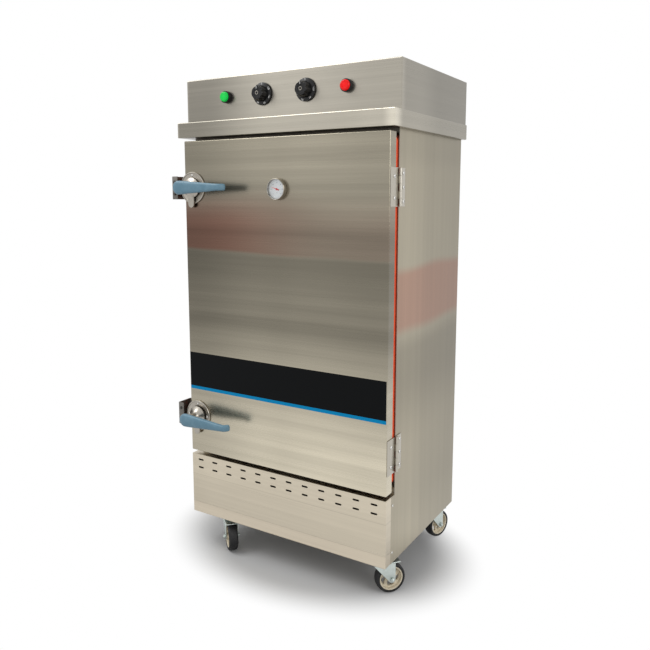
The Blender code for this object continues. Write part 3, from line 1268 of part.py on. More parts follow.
def caster(corner, x, y, yaw):
    """One caster, with its swivel axis and its wheel axis."""
    plate_top = BASE_HEIGHT - FIT
    plate_low = (x - CASTER_PLATE_SIDE / 2, y - CASTER_PLATE_SIDE / 2, plate_top - CASTER_PLATE)
    plate_high = (x + CASTER_PLATE_SIDE / 2, y + CASTER_PLATE_SIDE / 2, plate_top)
    half_side = CASTER_PLATE_SIDE / 2
    top_plate = plate(f"{corner}_caster_plate", [
        rounded_rectangle((-half_side, -half_side), (half_side, half_side),
                          CASTER_PLATE_CORNER, 2)],
        CASTER_PLATE, zinc, cabinet, middle(plate_low, plate_high))
    race_top = plate_top - CASTER_PLATE / 2
    race_bottom = plate_top - CASTER_PLATE - RACE_HEIGHT
    join(top_plate, turned_shape(f"{corner}_race", [
        (0, race_top), (RACE_RADIUS, race_top), (RACE_RADIUS, race_bottom + RACE_ROUND),
        (RACE_RADIUS - RACE_ROUND, race_bottom), (0, race_bottom)], RACE_STEPS), (x, y, 0))

    swivel = axis_empty(f"{corner}_swivel_axis", cabinet, (x, y, 0), (0, 0, yaw))
    crown_top = race_bottom - FIT
    crown_low = (-CROWN_BACK, -FORK_INNER_HALF - FORK_SHEET, crown_top - CROWN_THICKNESS)
    crown_high = (TRAIL + CROWN_AHEAD, FORK_INNER_HALF + FORK_SHEET, crown_top)
    fork = box(f"{corner}_caster_fork", crown_low, crown_high, zinc, swivel)
    leg_top = crown_top - CROWN_THICKNESS / 2
    for side, sign in (("left", 1), ("right", -1)):
        join(fork, plate_shape(f"{corner}_{side}_leg", [fork_leg_outline(leg_top)],
                               FORK_SHEET - FIT / 2),
             (0, sign * (FORK_INNER_HALF + FORK_SHEET / 2), 0), TO_FRONT)
    for name, radius, length, at, sides in (
            ("axle", AXLE_RADIUS, 2 * (FORK_INNER_HALF + FORK_SHEET + NUT_THICKNESS + BOLT_END),
             (TRAIL, 0, WHEEL_RADIUS), PIPE_SIDES),
            ("near_nut", NUT_RADIUS, NUT_THICKNESS,
             (TRAIL, -FORK_INNER_HALF - FORK_SHEET - NUT_THICKNESS / 2 + FIT, WHEEL_RADIUS), HEX_SIDES),
            ("far_nut", NUT_RADIUS, NUT_THICKNESS,
             (TRAIL, FORK_INNER_HALF + FORK_SHEET + NUT_THICKNESS / 2 - FIT, WHEEL_RADIUS), HEX_SIDES)):
        join(fork, rod_shape(f"{corner}_{name}", radius, length, sides), at, TO_FRONT)

    wheel = axis_empty(f"{corner}_wheel_axis", swivel, (TRAIL, 0, WHEEL_RADIUS))
    hub = turned(f"{corner}_caster_hub", [
        (AXLE_RADIUS + FIT, HUB_HALF_WIDTH), (HUB_RADIUS, HUB_HALF_WIDTH),
        (HUB_RADIUS, WEB_HALF_THICKNESS), (RIM_RADIUS - RIM_WALL, WEB_HALF_THICKNESS),
        (RIM_RADIUS - RIM_WALL, RIM_HALF_WIDTH), (RIM_RADIUS, RIM_HALF_WIDTH),
        (RIM_RADIUS, -RIM_HALF_WIDTH), (RIM_RADIUS - RIM_WALL, -RIM_HALF_WIDTH),
        (RIM_RADIUS - RIM_WALL, -WEB_HALF_THICKNESS), (HUB_RADIUS, -WEB_HALF_THICKNESS),
        (HUB_RADIUS, -HUB_HALF_WIDTH), (AXLE_RADIUS + FIT, -HUB_HALF_WIDTH)],
        WHEEL_STEPS, cream_plastic, wheel, (0, 0, 0), TO_FRONT, closed=True)
    windows = [window_outline(tau * i / WINDOW_COUNT) for i in range(WINDOW_COUNT)]
    cut(hub, plate_shape(f"{corner}_windows", windows, 2 * WEB_HALF_THICKNESS + OVERRUN),
        (0, 0, 0), TO_FRONT)
    turned(f"{corner}_caster_tyre", tyre_profile(), WHEEL_STEPS, tyre_rubber, wheel,
           (0, 0, 0), TO_FRONT, closed=True)


caster("front_left", CASTER_LEFT_X, CASTER_FRONT_Y, FRONT_LEFT_TURN)
caster("front_right", CASTER_RIGHT_X, CASTER_FRONT_Y, FRONT_RIGHT_TURN)
caster("rear_left", CASTER_LEFT_X, CASTER_REAR_Y, REAR_LEFT_TURN)
caster("rear_right", CASTER_RIGHT_X, CASTER_REAR_Y, REAR_RIGHT_TURN)

# Round pieces are shaded smooth, with their sharp edges kept
for obj in parts.objects:
    if obj.type == "MESH":
        obj.data.shade_smooth()
        obj.data.set_sharp_from_angle(angle=radians(35))
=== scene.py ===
# Rice steamer cabinet: a stainless steel cupboard on four casters, with a
# latched door, a dial thermometer, a control box on top and racks for trays
# over a water tank inside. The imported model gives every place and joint.
import json
from math import cos, pi, radians, sin, tau
import bmesh
import bpy
from mathutils import Matrix, Vector


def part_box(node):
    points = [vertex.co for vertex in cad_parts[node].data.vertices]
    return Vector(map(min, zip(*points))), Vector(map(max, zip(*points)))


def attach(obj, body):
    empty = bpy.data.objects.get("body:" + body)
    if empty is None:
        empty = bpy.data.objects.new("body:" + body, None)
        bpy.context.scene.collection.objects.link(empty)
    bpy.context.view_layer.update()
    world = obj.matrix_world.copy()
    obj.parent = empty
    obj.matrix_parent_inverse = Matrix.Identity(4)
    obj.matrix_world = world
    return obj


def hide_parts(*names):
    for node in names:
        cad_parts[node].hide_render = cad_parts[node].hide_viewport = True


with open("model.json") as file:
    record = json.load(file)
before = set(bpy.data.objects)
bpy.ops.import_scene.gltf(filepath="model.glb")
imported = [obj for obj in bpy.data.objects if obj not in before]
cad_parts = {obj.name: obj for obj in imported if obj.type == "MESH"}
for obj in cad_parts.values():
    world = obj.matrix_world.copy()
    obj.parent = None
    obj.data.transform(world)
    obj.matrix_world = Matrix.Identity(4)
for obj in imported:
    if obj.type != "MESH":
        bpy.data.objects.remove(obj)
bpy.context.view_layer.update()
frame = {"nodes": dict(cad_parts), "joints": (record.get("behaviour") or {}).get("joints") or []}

# The studio: a grey floor that takes the cabinet's real soft shadow, and whose grey, kept to an oval
# round the casters, is a painted shadow that fades into the white surround past it. A broad lamp stands
# high on the left, with a weaker one to the right.


class Wire:
    """A value in a finish's nodes that Python's own arithmetic works on."""

    def __init__(self, nodes, socket):
        self.nodes = nodes
        self.socket = socket

    def sum(self, operation, first, second):
        return self.nodes.add("Math", {"operation": operation}, {0: first, 1: second})

    def __add__(self, other):
        return self.sum("ADD", self, other)

    def __sub__(self, other):
        return self.sum("SUBTRACT", self, other)

    def __rsub__(self, other):
        return self.sum("SUBTRACT", other, self)

    def __mul__(self, other):
        return self.sum("MULTIPLY", self, other)

    def __abs__(self):
        return self.sum("ABSOLUTE", self, 0.0)

    __radd__ = __add__
    __rmul__ = __mul__

    def larger(self, other):
        return self.sum("MAXIMUM", self, other)

    def ramp(self, low, high, start=0.0, end=1.0):
        """Goes smoothly from start to end while this value goes from low to high."""
        return self.nodes.add("MapRange", {"interpolation_type": "SMOOTHSTEP"},
                              {0: self, 1: low, 2: high, 3: start, 4: end})


class Nodes:
    """A node tree, with the few ways in which nodes are added to it here."""

    def __init__(self, tree):
        self.tree = tree

    def feed(self, socket, value):
        """Links a wire to an input, or sets the input to a plain value."""
        if isinstance(value, Wire):
            self.tree.links.new(value.socket, socket)
        elif socket.type == "RGBA":
            socket.default_value = (*value, 1.0)
        else:
            socket.default_value = value

    def add(self, kind, settings, inputs, output=0):
        """One node: its kind, its settings, what its inputs get, and which output is used."""
        node = self.tree.nodes.new("ShaderNode" + kind)
        for name, value in settings.items():
            setattr(node, name, value)
        for name, value in inputs.items():
            self.feed(node.inputs[name], value)
        return Wire(self, node.outputs[output])

    def place(self):
        """The point on the object, in metres in the cabinet's own frame."""
        return self.add("TexCoord", {}, {}, "Object")

    def along(self, axis):
        return self.add("SeparateXYZ", {}, {0: self.place()}, axis)

    def stretched(self, stretch):
        return self.add("VectorMath", {"operation": "MULTIPLY"}, {0: self.place(), 1: stretch})

    def noise(self, grains, detail=2.0, roughness=0.5):
        """Noise with so many grains to the metre, every way alike or along each axis."""
        stretch = grains if isinstance(grains, tuple) else (grains,) * 3
        return self.add("TexNoise", {}, {"Vector": self.stretched(stretch), "Scale": 1.0,
                                         "Detail": detail, "Roughness": roughness})

    def blend(self, amount, first, second, way="MIX"):
        """One colour turning into another as the amount goes from 0 to 1."""
        return self.add("Mix", {"data_type": "RGBA", "blend_type": way},
                        {0: amount, 6: first, 7: second}, 2)

    def plain_view(self):
        """One for rays that see the white surround: the camera's, mirrored and clear ones."""
        camera, glossy, clear = [self.add("LightPath", {}, {}, f"Is {ray} Ray")
                                 for ray in ("Camera", "Glossy", "Transmission")]
        return camera.larger(glossy).larger(clear)


class Finish(Nodes):
    """A material, whose shader's inputs are set by their names."""

    def __init__(self, name, values):
        self.material = bpy.data.materials.new(name)
        self.material.use_nodes = True
        super().__init__(self.material.node_tree)
        self.shader = self.tree.nodes["Principled BSDF"]
        self.set(values)

    def set(self, values):
        for name, value in values.items():
            self.feed(self.shader.inputs[name], value)

    def emboss(self, height, strength, distance):
        """Lets a height, in shares of a distance, tip the light on the surface."""
        self.set({"Normal": self.add("Bump", {}, {"Height": height, "Strength": strength,
                                                  "Distance": distance})})


def fresh(operator, name, **settings):
    """A new primitive, with nothing else selected."""
    bpy.ops.object.select_all(action="DESELECT")
    operator(**settings)
    bpy.context.object.name = name
    return bpy.context.object


FLOOR_SIDE = 16.0
WHITE = (1.0, 1.0, 1.0)
# The oval of painted shadow: its half widths along x and y, and the oval distances over which the grey
# floor fades to white.
PAINTED_SHADOW_OVAL = (1 / 0.60, 1 / 0.45, 0.0)
PAINTED_SHADOW_FADE = (0.60, 0.94)
SURROUND_LIGHT = 0.66

floor = fresh(bpy.ops.mesh.primitive_plane_add, "studio_floor", size=FLOOR_SIDE)
pale = Finish("floor_with_painted_shadow", {"Base Color": (0.50, 0.50, 0.50), "Roughness": 0.9,
                             "Specular IOR Level": 0.0})
distance = pale.add("VectorMath", {"operation": "LENGTH"}, {0: pale.stretched(PAINTED_SHADOW_OVAL)}, "Value")
glow = pale.add("Emission", {}, {"Color": WHITE, "Strength": 1.0})
faded = pale.add("MixShader", {}, {0: distance.ramp(*PAINTED_SHADOW_FADE) * pale.plain_view(),
                                   1: Wire(pale, pale.shader.outputs[0]), 2: glow})
pale.feed(pale.tree.nodes["Material Output"].inputs["Surface"], faded)
floor.data.materials.append(pale.material)

world = bpy.data.worlds.new("white_surround")
world.use_nodes = True
bpy.context.scene.world = world
sky = Nodes(world.node_tree)
background = world.node_tree.nodes["Background"]
sky.feed(background.inputs["Color"], WHITE)
sky.feed(background.inputs["Strength"], SURROUND_LIGHT + (1.0 - SURROUND_LIGHT) * sky.plain_view())

LAMP_AIM = Vector((0.0, 0.0, 0.8))
for name, at, side, power in (("high_left_lamp", (-2.6, -2.0, 4.0), 2.6, 95.0),
                              ("right_lamp", (3.4, -1.2, 2.2), 2.0, 36.0)):
    light = bpy.data.lights.new(name, "AREA")
    light.size = side
    light.energy = power
    holder = bpy.data.objects.new(name, light)
    bpy.context.collection.objects.link(holder)
    holder.location = at
    holder.rotation_euler = (LAMP_AIM - Vector(at)).to_track_quat("-Z", "Y").to_euler()

# The camera stands where the photograph was taken from, solved from the
# corners of the door, the control box and the skirt. It looks a little down,
# and its frame is shifted down to keep the upright edges nearly parallel.

CAMERA_PLACE = (1.1399, -1.8216, 1.1297)
CAMERA_YAW = radians(31.453)
CAMERA_PITCH = radians(7.729)
SENSOR_WIDTH = 36.0
CAMERA_LENS = 37.757
CAMERA_SHIFT = -0.0538

camera_data = bpy.data.cameras.new("photo_camera")
camera_data.sensor_width = SENSOR_WIDTH
camera_data.lens = CAMERA_LENS
camera_data.shift_y = CAMERA_SHIFT
camera = bpy.data.objects.new("photo_camera", camera_data)
bpy.context.collection.objects.link(camera)
camera.location = CAMERA_PLACE
camera.rotation_euler = (pi / 2 - CAMERA_PITCH, 0, CAMERA_YAW)
bpy.context.scene.camera = camera
bpy.context.scene.view_settings.view_transform = "Standard"

# Outer sheets: the sides, the back and the frame round the chamber's mouth are
# brushed stainless steel. The brush ran level on the front and upright on the
# sides, and the rolled sheet keeps slow clouds of tone and shallow waves.

METAL = {"Metallic": 1.0}
HAIRS = (700.0, 2.5, 3.0)
BANDS = (90.0, 1.25, 2.0)
STREAKS = (30.0, 0.7, 2.0)
BRUSH_SOFTNESS = 0.55
CLOUDS = ((1.3, 1.3, 2.6), 2.0, 0.45)
WAVES = ((2.2, 2.2, 3.0), 1.0)
CLOUD_SWAY = 0.11
CLOUD_SHARE = 2.2
STREAK_SHARE = 1.5
BAND_SHARES = (0.16, 0.10)
HAIR_SHARES = (0.20, 0.08)
WAVE_RELIEF = (0.5, 0.004)
HAIR_RELIEF = 0.010
SEAM_WIDTHS = (0.0004, 0.0012)
SEAM_TONE = 0.82
# The colour of the painted red reflection that a brushed sheet may carry.
RED_REFLECTION_TINT = (1.0, 0.50, 0.46)


def brushed(name, colour, brush, roughness=0.30, clouds=0.16, seams=(), painted_turns=(), red_reflection=()):
    """Brushed sheet: hair lines and broader bands along the brush, over slow
    clouds. Seams are the heights of faint lines where sheets meet or fold.
    The turns are painted light: slow changes in tone that stand in for reflections, highlights and shade,
    each with its axis, start, end and share. The warm tint is a painted red reflection: the height where
    it comes in and goes out again, how strong it is, and where it fades along an axis."""
    sheet = Finish(name, METAL)
    hair, band, streak = [
        sheet.noise((run, run, across) if brush == "level" else (across, across, run), detail,
                    BRUSH_SOFTNESS) - 0.5 for across, run, detail in (HAIRS, BANDS, STREAKS)]
    cloud = sheet.noise(*CLOUDS) - 0.5
    height = sheet.along("Z") + CLOUD_SWAY * cloud
    share = (1.0 + clouds * (CLOUD_SHARE * cloud + STREAK_SHARE * streak)
             + BAND_SHARES[0] * band + HAIR_SHARES[0] * hair)
    # Painted light: each turn scales the tone up or down along one axis, standing in for reflections,
    # highlights and shade.
    for axis, start, end, step in painted_turns:
        way = height if axis == "Z" else sheet.along(axis)
        share = share * way.ramp(start, end, 1.0, 1.0 + step)
    for seam in seams:
        share = share * abs(sheet.along("Z") - seam).ramp(*SEAM_WIDTHS, SEAM_TONE, 1.0)
    steel = sheet.add("VectorMath", {"operation": "SCALE"}, {0: colour, "Scale": share})
    # Painted reflection: a reddish tint multiplied in across a band of height.
    if red_reflection:
        bottom, low, high, top, amount, axis, start, end, rest = red_reflection
        tint = height.ramp(bottom, low, 0.0, amount) * height.ramp(high, top, 1.0, 0.0)
        tint = tint * sheet.along(axis).ramp(start, end, 1.0, rest)
        steel = sheet.blend(tint, steel, RED_REFLECTION_TINT, "MULTIPLY")
    sheet.set({"Base Color": steel,
               "Roughness": roughness + BAND_SHARES[1] * band + HAIR_SHARES[1] * hair})
    sheet.emboss(sheet.noise(*WAVES) + HAIR_RELIEF * hair, *WAVE_RELIEF)
    return sheet


def dress(finish, *nodes):
    """Gives CAD nodes that keep their shape a finish."""
    for node in nodes:
        for place in frame["nodes"][node].material_slots:
            place.material = finish.material


SIDE_TONE = (0.435, 0.390, 0.295)
# Painted light on the sides: bands of reflection and shade up their height, and darker going back.
SIDE_PAINTED_LIGHT = (("Z", 0.10, 0.28, -0.14), ("Z", 0.42, 0.64, -0.24), ("Z", 0.70, 0.78, 0.32),
              ("Z", 1.19, 1.26, -0.11), ("Y", -0.10, 0.06, -0.18), ("Y", 0.06, 0.24, -0.09))
# The right side's painted red reflection: the heights of its band, its strength, and no fade along the
# depth.
SIDE_RED_REFLECTION = (0.75, 0.79, 0.93, 0.965, 0.62, "Y", -0.10, 0.22, 1.0)
FRONT_TONE = (0.30, 0.275, 0.23)
# Painted shade: the front frame's top strip, in the gap under the trim band, is darkened.
FRONT_PAINTED_SHADE = (("Z", 1.270, 1.300, -0.70),)
BACK_TONE = (0.40, 0.39, 0.36)
dress(brushed("right_side_steel", SIDE_TONE, "upright", 0.32, 0.13, painted_turns=SIDE_PAINTED_LIGHT,
              red_reflection=SIDE_RED_REFLECTION), "right_side_panel")
dress(brushed("left_side_steel", SIDE_TONE, "upright", 0.32, 0.13, painted_turns=SIDE_PAINTED_LIGHT),
      "left_side_panel")
dress(brushed("back_steel", BACK_TONE, "upright", 0.40, 0.10), "back_panel")
dress(brushed("frame_steel", FRONT_TONE, "level", 0.34, 0.08, painted_turns=FRONT_PAINTED_SHADE), "front_frame")

# Trim band and control box: folded from the same sheet, but brighter, with the brush along them. Their
# tone is painted light: on the front darker at the left end and lighter towards the middle, with a
# painted highlight at the band's front right corner, and darker going back along the sides.

TRIM_TONE = (0.38, 0.355, 0.300)
# Painted light on the trim band, with its painted highlight at the front right corner.
TRIM_PAINTED_LIGHT = (("X", -0.3545, -0.346, -0.38), ("X", -0.28, 0.0, 0.85), ("X", 0.22, 0.32, 0.10),
              ("X", 0.34, 0.372, 0.42), ("Y", -0.237, -0.19, -0.45), ("Y", -0.12, 0.08, -0.20))
BOX_TONE = (0.34, 0.318, 0.272)
# Painted light on the control box.
BOX_PAINTED_LIGHT = (("X", -0.3515, -0.343, -0.30), ("X", -0.28, -0.02, 0.84), ("X", 0.08, 0.30, -0.10),
             ("Y", -0.195, -0.17, -0.20), ("Y", -0.10, 0.06, -0.22))
dress(brushed("trim_steel", TRIM_TONE, "level", 0.28, 0.12, painted_turns=TRIM_PAINTED_LIGHT), "trim_band")
dress(brushed("box_steel", BOX_TONE, "level", 0.30, 0.12, painted_turns=BOX_PAINTED_LIGHT), "control_housing")
dress(brushed("bracket_steel", BACK_TONE, "level", 0.42, 0.06), "control_chassis")

# Door: an outer skin with a level brush and an inner pan behind it. A printed
# film runs over its full width below the middle: a black band on a blue line.

DOOR_TONE = (0.430, 0.392, 0.309)
# Painted light on the door: level bands of reflection and shade up its height, and darker towards its
# left edge.
DOOR_PAINTED_LIGHT = (("Z", 0.42, 0.54, -0.22), ("Z", 0.57, 0.69, -0.34), ("Z", 0.69, 0.765, -0.38),
              ("Z", 0.765, 0.80, 0.12), ("Z", 0.85, 0.91, -0.20), ("Z", 0.962, 0.976, 0.14),
              ("Z", 1.02, 1.13, 0.46), ("Z", 1.15, 1.20, 0.10), ("X", -0.32, -0.04, 0.42),
              ("X", 0.0, 0.10, 0.05), ("X", 0.14, 0.34, -0.08))
# The door's painted red reflection, high on the door and fading towards the right.
DOOR_RED_REFLECTION = (0.966, 0.978, 1.04, 1.17, 0.75, "X", -0.25, 0.20, 0.25)
dress(brushed("door_steel", DOOR_TONE, "level", 0.26, 0.28, painted_turns=DOOR_PAINTED_LIGHT, red_reflection=DOOR_RED_REFLECTION),
      "door_skin")
dress(brushed("door_pan_steel", BACK_TONE, "upright", 0.36, 0.08), "door_liner")

door_low, door_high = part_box("door_skin")
cabinet_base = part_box("base_rail")[0].z
FILM_THICKNESS = 0.00025
FILM_LIFT = 0.00005
FILM_MARGIN = 0.0022
LINE_BOTTOM = 0.415
LINE_TOP = 0.4250
BAND_TOP = 0.534


def mottled(name, shader, grain, rough, tones=(), edges=(), bump=(), relief=None):
    """A finish with one grain: the grain's fineness and detail, the least
    roughness and what the grain adds to it, the two tones that it blends and
    the edges between which it does, and a bump's strength and depth, which
    may be over a finer relief."""
    finish = Finish(name, shader)
    speck = finish.noise(*grain)
    finish.set({"Roughness": rough[0] + rough[1] * speck})
    if tones:
        finish.set({"Base Color": finish.blend(speck.ramp(*edges) if edges else speck, *tones)})
    if bump:
        finish.emboss(finish.noise(relief) if relief else speck, *bump)
    return finish


def take(*pieces):
    """Selects just these pieces, the first one active."""
    bpy.ops.object.select_all(action="DESELECT")
    for piece in pieces:
        piece.select_set(True)
    bpy.context.view_layer.objects.active = pieces[0]
    return pieces[0]


def modify(piece, kind, **settings):
    """Adds a modifier to a piece and applies it."""
    take(piece)
    modifier = piece.modifiers.new(kind.lower(), kind)
    for name, value in settings.items():
        setattr(modifier, name, value)
    bpy.ops.object.modifier_apply(modifier=modifier.name)


def rounded(piece, width, segments, angle=None):
    """Rounds a piece's edges, or just those that turn by more than an angle."""
    limit = {"limit_method": "ANGLE", "angle_limit": radians(angle)} if angle else {}
    modify(piece, "BEVEL", width=width, segments=segments, **limit)


def block(name, low, high):
    """A cube stretched between two corners."""
    piece = fresh(bpy.ops.mesh.primitive_cube_add, name, size=1.0,
                  location=(Vector(low) + Vector(high)) / 2, scale=Vector(high) - Vector(low))
    bpy.ops.object.transform_apply(location=True, rotation=True, scale=True)
    return piece


def moved(piece, matrix):
    """Moves a piece's mesh, and leaves its object at the origin."""
    piece.data.transform(matrix)
    return piece


def fit(piece, body, slot, finish, *nodes, smooth=32):
    """Finishes a piece: its shading, its material, the body it moves with, and
    the CAD nodes that it stands for."""
    take(piece)
    bpy.ops.object.transform_apply(location=True, rotation=True, scale=True)
    bpy.ops.object.shade_smooth_by_angle(angle=radians(smooth))
    piece.data.materials.clear()
    piece.data.materials.append(finish.material)
    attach(piece, body)
    if nodes:
        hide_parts(*nodes)


def film(name, low_z, high_z, finish):
    """A strip of printed film laid on the door's front."""
    front = door_low.y - FILM_LIFT
    strip = block(name, (door_low.x + FILM_MARGIN, front - FILM_THICKNESS, cabinet_base + low_z),
                  (door_high.x - FILM_MARGIN, front, cabinet_base + high_z))
    rounded(strip, FILM_THICKNESS / 3, 1)
    fit(strip, "door", "black_plastic", finish)


film("blue_line", LINE_BOTTOM, LINE_TOP,
     mottled("blue_film", {"Base Color": (0.0, 0.235, 0.50), "Specular IOR Level": 0.10}, (6,),
             (0.30, 0.10)))
film("black_band", LINE_TOP + FILM_LIFT, BAND_TOP,
     mottled("black_film", {"Base Color": (0.0045, 0.0050, 0.0055), "Specular IOR Level": 0.06},
             (6, 3.0), (0.36, 0.12)))

# Seal: one ring of orange silicone rubber, pressed on the door's back. It is matt, and a little darker in
# patches where dust and flour have settled.

dress(mottled("orange_silicone", {"Specular IOR Level": 0.35}, (60, 4.0), (0.50, 0.16),
              ((0.80, 0.062, 0.010), (0.90, 0.100, 0.022)), (0.35, 0.75), (0.25, 0.0006)),
      "door_gasket")

# Screws: stainless pan heads with a cross recess. One is turned and cut, and
# every other is a copy of it, joined with those that hold the same piece.

SCREW_SIDES = 20
CROSS_REACH = 0.0021
CROSS_HALF_WIDTH = 0.00045
CROSS_FLOOR = 0.0014
CROSS_TOP = 0.0040
FIRST_CROSS = 0.7
NEXT_CROSS = 1.9
FACING = {"front": Matrix.Rotation(pi / 2, 4, "X"), "back": Matrix.Rotation(-pi / 2, 4, "X"),
          "right": Matrix.Rotation(pi / 2, 4, "Y"), "left": Matrix.Rotation(-pi / 2, 4, "Y"),
          "up": Matrix.Identity(4), "down": Matrix.Rotation(pi, 4, "X")}


def mm(*points):
    """A run of radii and heights in millimetres, in metres."""
    return [(radius / 1000, height / 1000) for radius, height in points]


def opened(piece):
    """Takes a piece into edit mode with all of it selected, and gives its mesh."""
    bpy.ops.object.mode_set(mode="EDIT")
    bpy.ops.mesh.select_all(action="SELECT")
    return bmesh.from_edit_mesh(piece.data)


def closed(piece):
    """Turns a piece's faces outwards and leaves edit mode."""
    bpy.ops.mesh.select_all(action="SELECT")
    bpy.ops.mesh.normals_make_consistent(inside=False)
    bpy.ops.object.mode_set(mode="OBJECT")
    return piece


def draw_out(x, y, z):
    bpy.ops.mesh.extrude_region_move(TRANSFORM_OT_translate={"value": (x, y, z)})


def turned(name, profile, sides, ring=False):
    """A piece off the lathe, about Z: a disc drawn out along a run of radii and
    heights, or a loop where the run closes on itself as a ring."""
    piece = fresh(bpy.ops.mesh.primitive_circle_add, name, vertices=sides, radius=profile[0][0],
                  fill_type="NOTHING" if ring else "NGON")
    opened(piece)
    bpy.ops.transform.translate(value=(0, 0, profile[0][1]))
    for (radius, height), (next_radius, next_height) in zip(profile, profile[1:]):
        draw_out(0, 0, next_height - height)
        share = next_radius / radius
        bpy.ops.transform.resize(value=(share, share, 1), center_override=(0, 0, next_height))
    bpy.ops.mesh.select_all(action="SELECT")
    bpy.ops.mesh.remove_doubles(threshold=0.000002)
    return closed(piece)


def copied(piece, name, matrix):
    """A copy of a piece, with its own mesh, moved."""
    twin = piece.copy()
    twin.data = piece.data.copy()
    twin.name = name
    bpy.context.collection.objects.link(twin)
    return moved(twin, matrix)


def joined(name, pieces):
    """Several pieces made one."""
    whole = take(*pieces)
    if len(pieces) > 1:
        bpy.ops.object.join()
    whole.name = name
    return whole


def aimed(place, way):
    """Puts a piece made about Z at a place, with its top to one side."""
    return Matrix.Translation(place) @ FACING[way]


def cut(piece, tool):
    """Cuts one piece's shape out of another, and does away with it."""
    modify(piece, "BOOLEAN", operation="DIFFERENCE", solver="EXACT", object=tool)
    bpy.data.objects.remove(tool, do_unlink=True)


screw_master = turned("screw_master", mm((3.8, 0), (3.8, 0.6), (3.572, 1.2), (2.964, 1.8),
                                         (1.976, 2.2), (0.76, 2.4)), SCREW_SIDES)
for name, x, y in (("cross_a", CROSS_REACH, CROSS_HALF_WIDTH),
                   ("cross_b", CROSS_HALF_WIDTH, CROSS_REACH)):
    cut(screw_master, block(name, (-x, -y, CROSS_FLOOR), (x, y, CROSS_TOP)))
bright_steel = mottled("bright_steel", METAL, (240, 3.0), (0.16, 0.22),
                       ((0.50, 0.49, 0.47), (0.74, 0.73, 0.70)))


def screws(name, places, way, body, scale=1.0):
    """The screws that hold one piece, each with its cross turned its own way."""
    heads = [copied(screw_master, f"{name}_{index}",
                    aimed(place, way) @ Matrix.Rotation(FIRST_CROSS + NEXT_CROSS * index, 4, "Z")
                    @ Matrix.Scale(scale, 4)) for index, place in enumerate(places)]
    fit(joined(name, heads), body, "polished_steel", bright_steel)


APRON_SCREW_BACK = 0.0085
APRON_SCREW_LEVELS = (0.171, 0.032)
apron_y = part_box("right_side_panel")[0].y + APRON_SCREW_BACK
for side, x in (("left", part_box("left_side_panel")[0].x), ("right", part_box("right_side_panel")[1].x)):
    screws(f"{side}_apron_screws",
           [(x, apron_y, cabinet_base + level) for level in APRON_SCREW_LEVELS], side, "cabinet")

BACK_SCREW_INSET = 0.016
BACK_SCREW_ROWS = 5
BACK_SCREW_TOP = 1.225
BACK_SCREW_BOTTOM = 0.030
back_low, back_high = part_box("back_panel")
back_screw_places = []
for row in range(BACK_SCREW_ROWS):
    share = row / (BACK_SCREW_ROWS - 1)
    z = cabinet_base + BACK_SCREW_BOTTOM + (BACK_SCREW_TOP - BACK_SCREW_BOTTOM) * share
    back_screw_places += [(x, back_high.y, z) for x in (back_low.x + BACK_SCREW_INSET,
                                                        back_high.x - BACK_SCREW_INSET)]
screws("back_panel_screws", back_screw_places, "back", "cabinet")

HOOD_SCREW_RISE = 0.014
HOOD_SCREW_INSET = 0.030
hood_low, hood_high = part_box("control_housing")
screws("hood_back_screws",
       [(x, hood_high.y, hood_low.z + HOOD_SCREW_RISE)
        for x in (hood_low.x + HOOD_SCREW_INSET, (hood_low.x + hood_high.x) / 2,
                  hood_high.x - HOOD_SCREW_INSET)], "back", "cabinet")

# Hinges: two butt hinges of thick plate. Each leaf is a flat plate with
# fingers rolled into knuckles, three on the cabinet and two on the door, and
# one pin runs through all five. Bright screws hold the leaves.

KNUCKLE_RADIUS = 0.0047
KNUCKLE_SIDES = 40
KNUCKLE_GAP = 0.0004
KNUCKLE_COUNT = 5
KNUCKLE_EDGE = 0.0004
LEAF_THICKNESS = 0.0020
LEAF_START = 0.0056
LEAF_EDGE = 0.0005
PIN_HEAD = 0.0003
PIN_HEAD_PROFILE = mm((3.4, -0.3), (3.4, 0), (2.04, 0.3))
HINGE_SCREW_SCALE = 1.42
LEAVES = {"fixed": ("cabinet", (0, 2, 4), (-0.037, 0.0, 0.037), 0.0235),
          "door": ("door", (1, 3), (-0.028, 0.028), 0.0300)}


def joint_at(name):
    """Where a joint's axis passes."""
    return Vector(next(joint["pos_m"] for joint in frame["joints"] if joint["name"] == name))


HINGE_AXIS = joint_at("door_hinge")
hinge_steel = brushed("hinge_steel", (0.47, 0.44, 0.38), "upright", 0.30, 0.10)


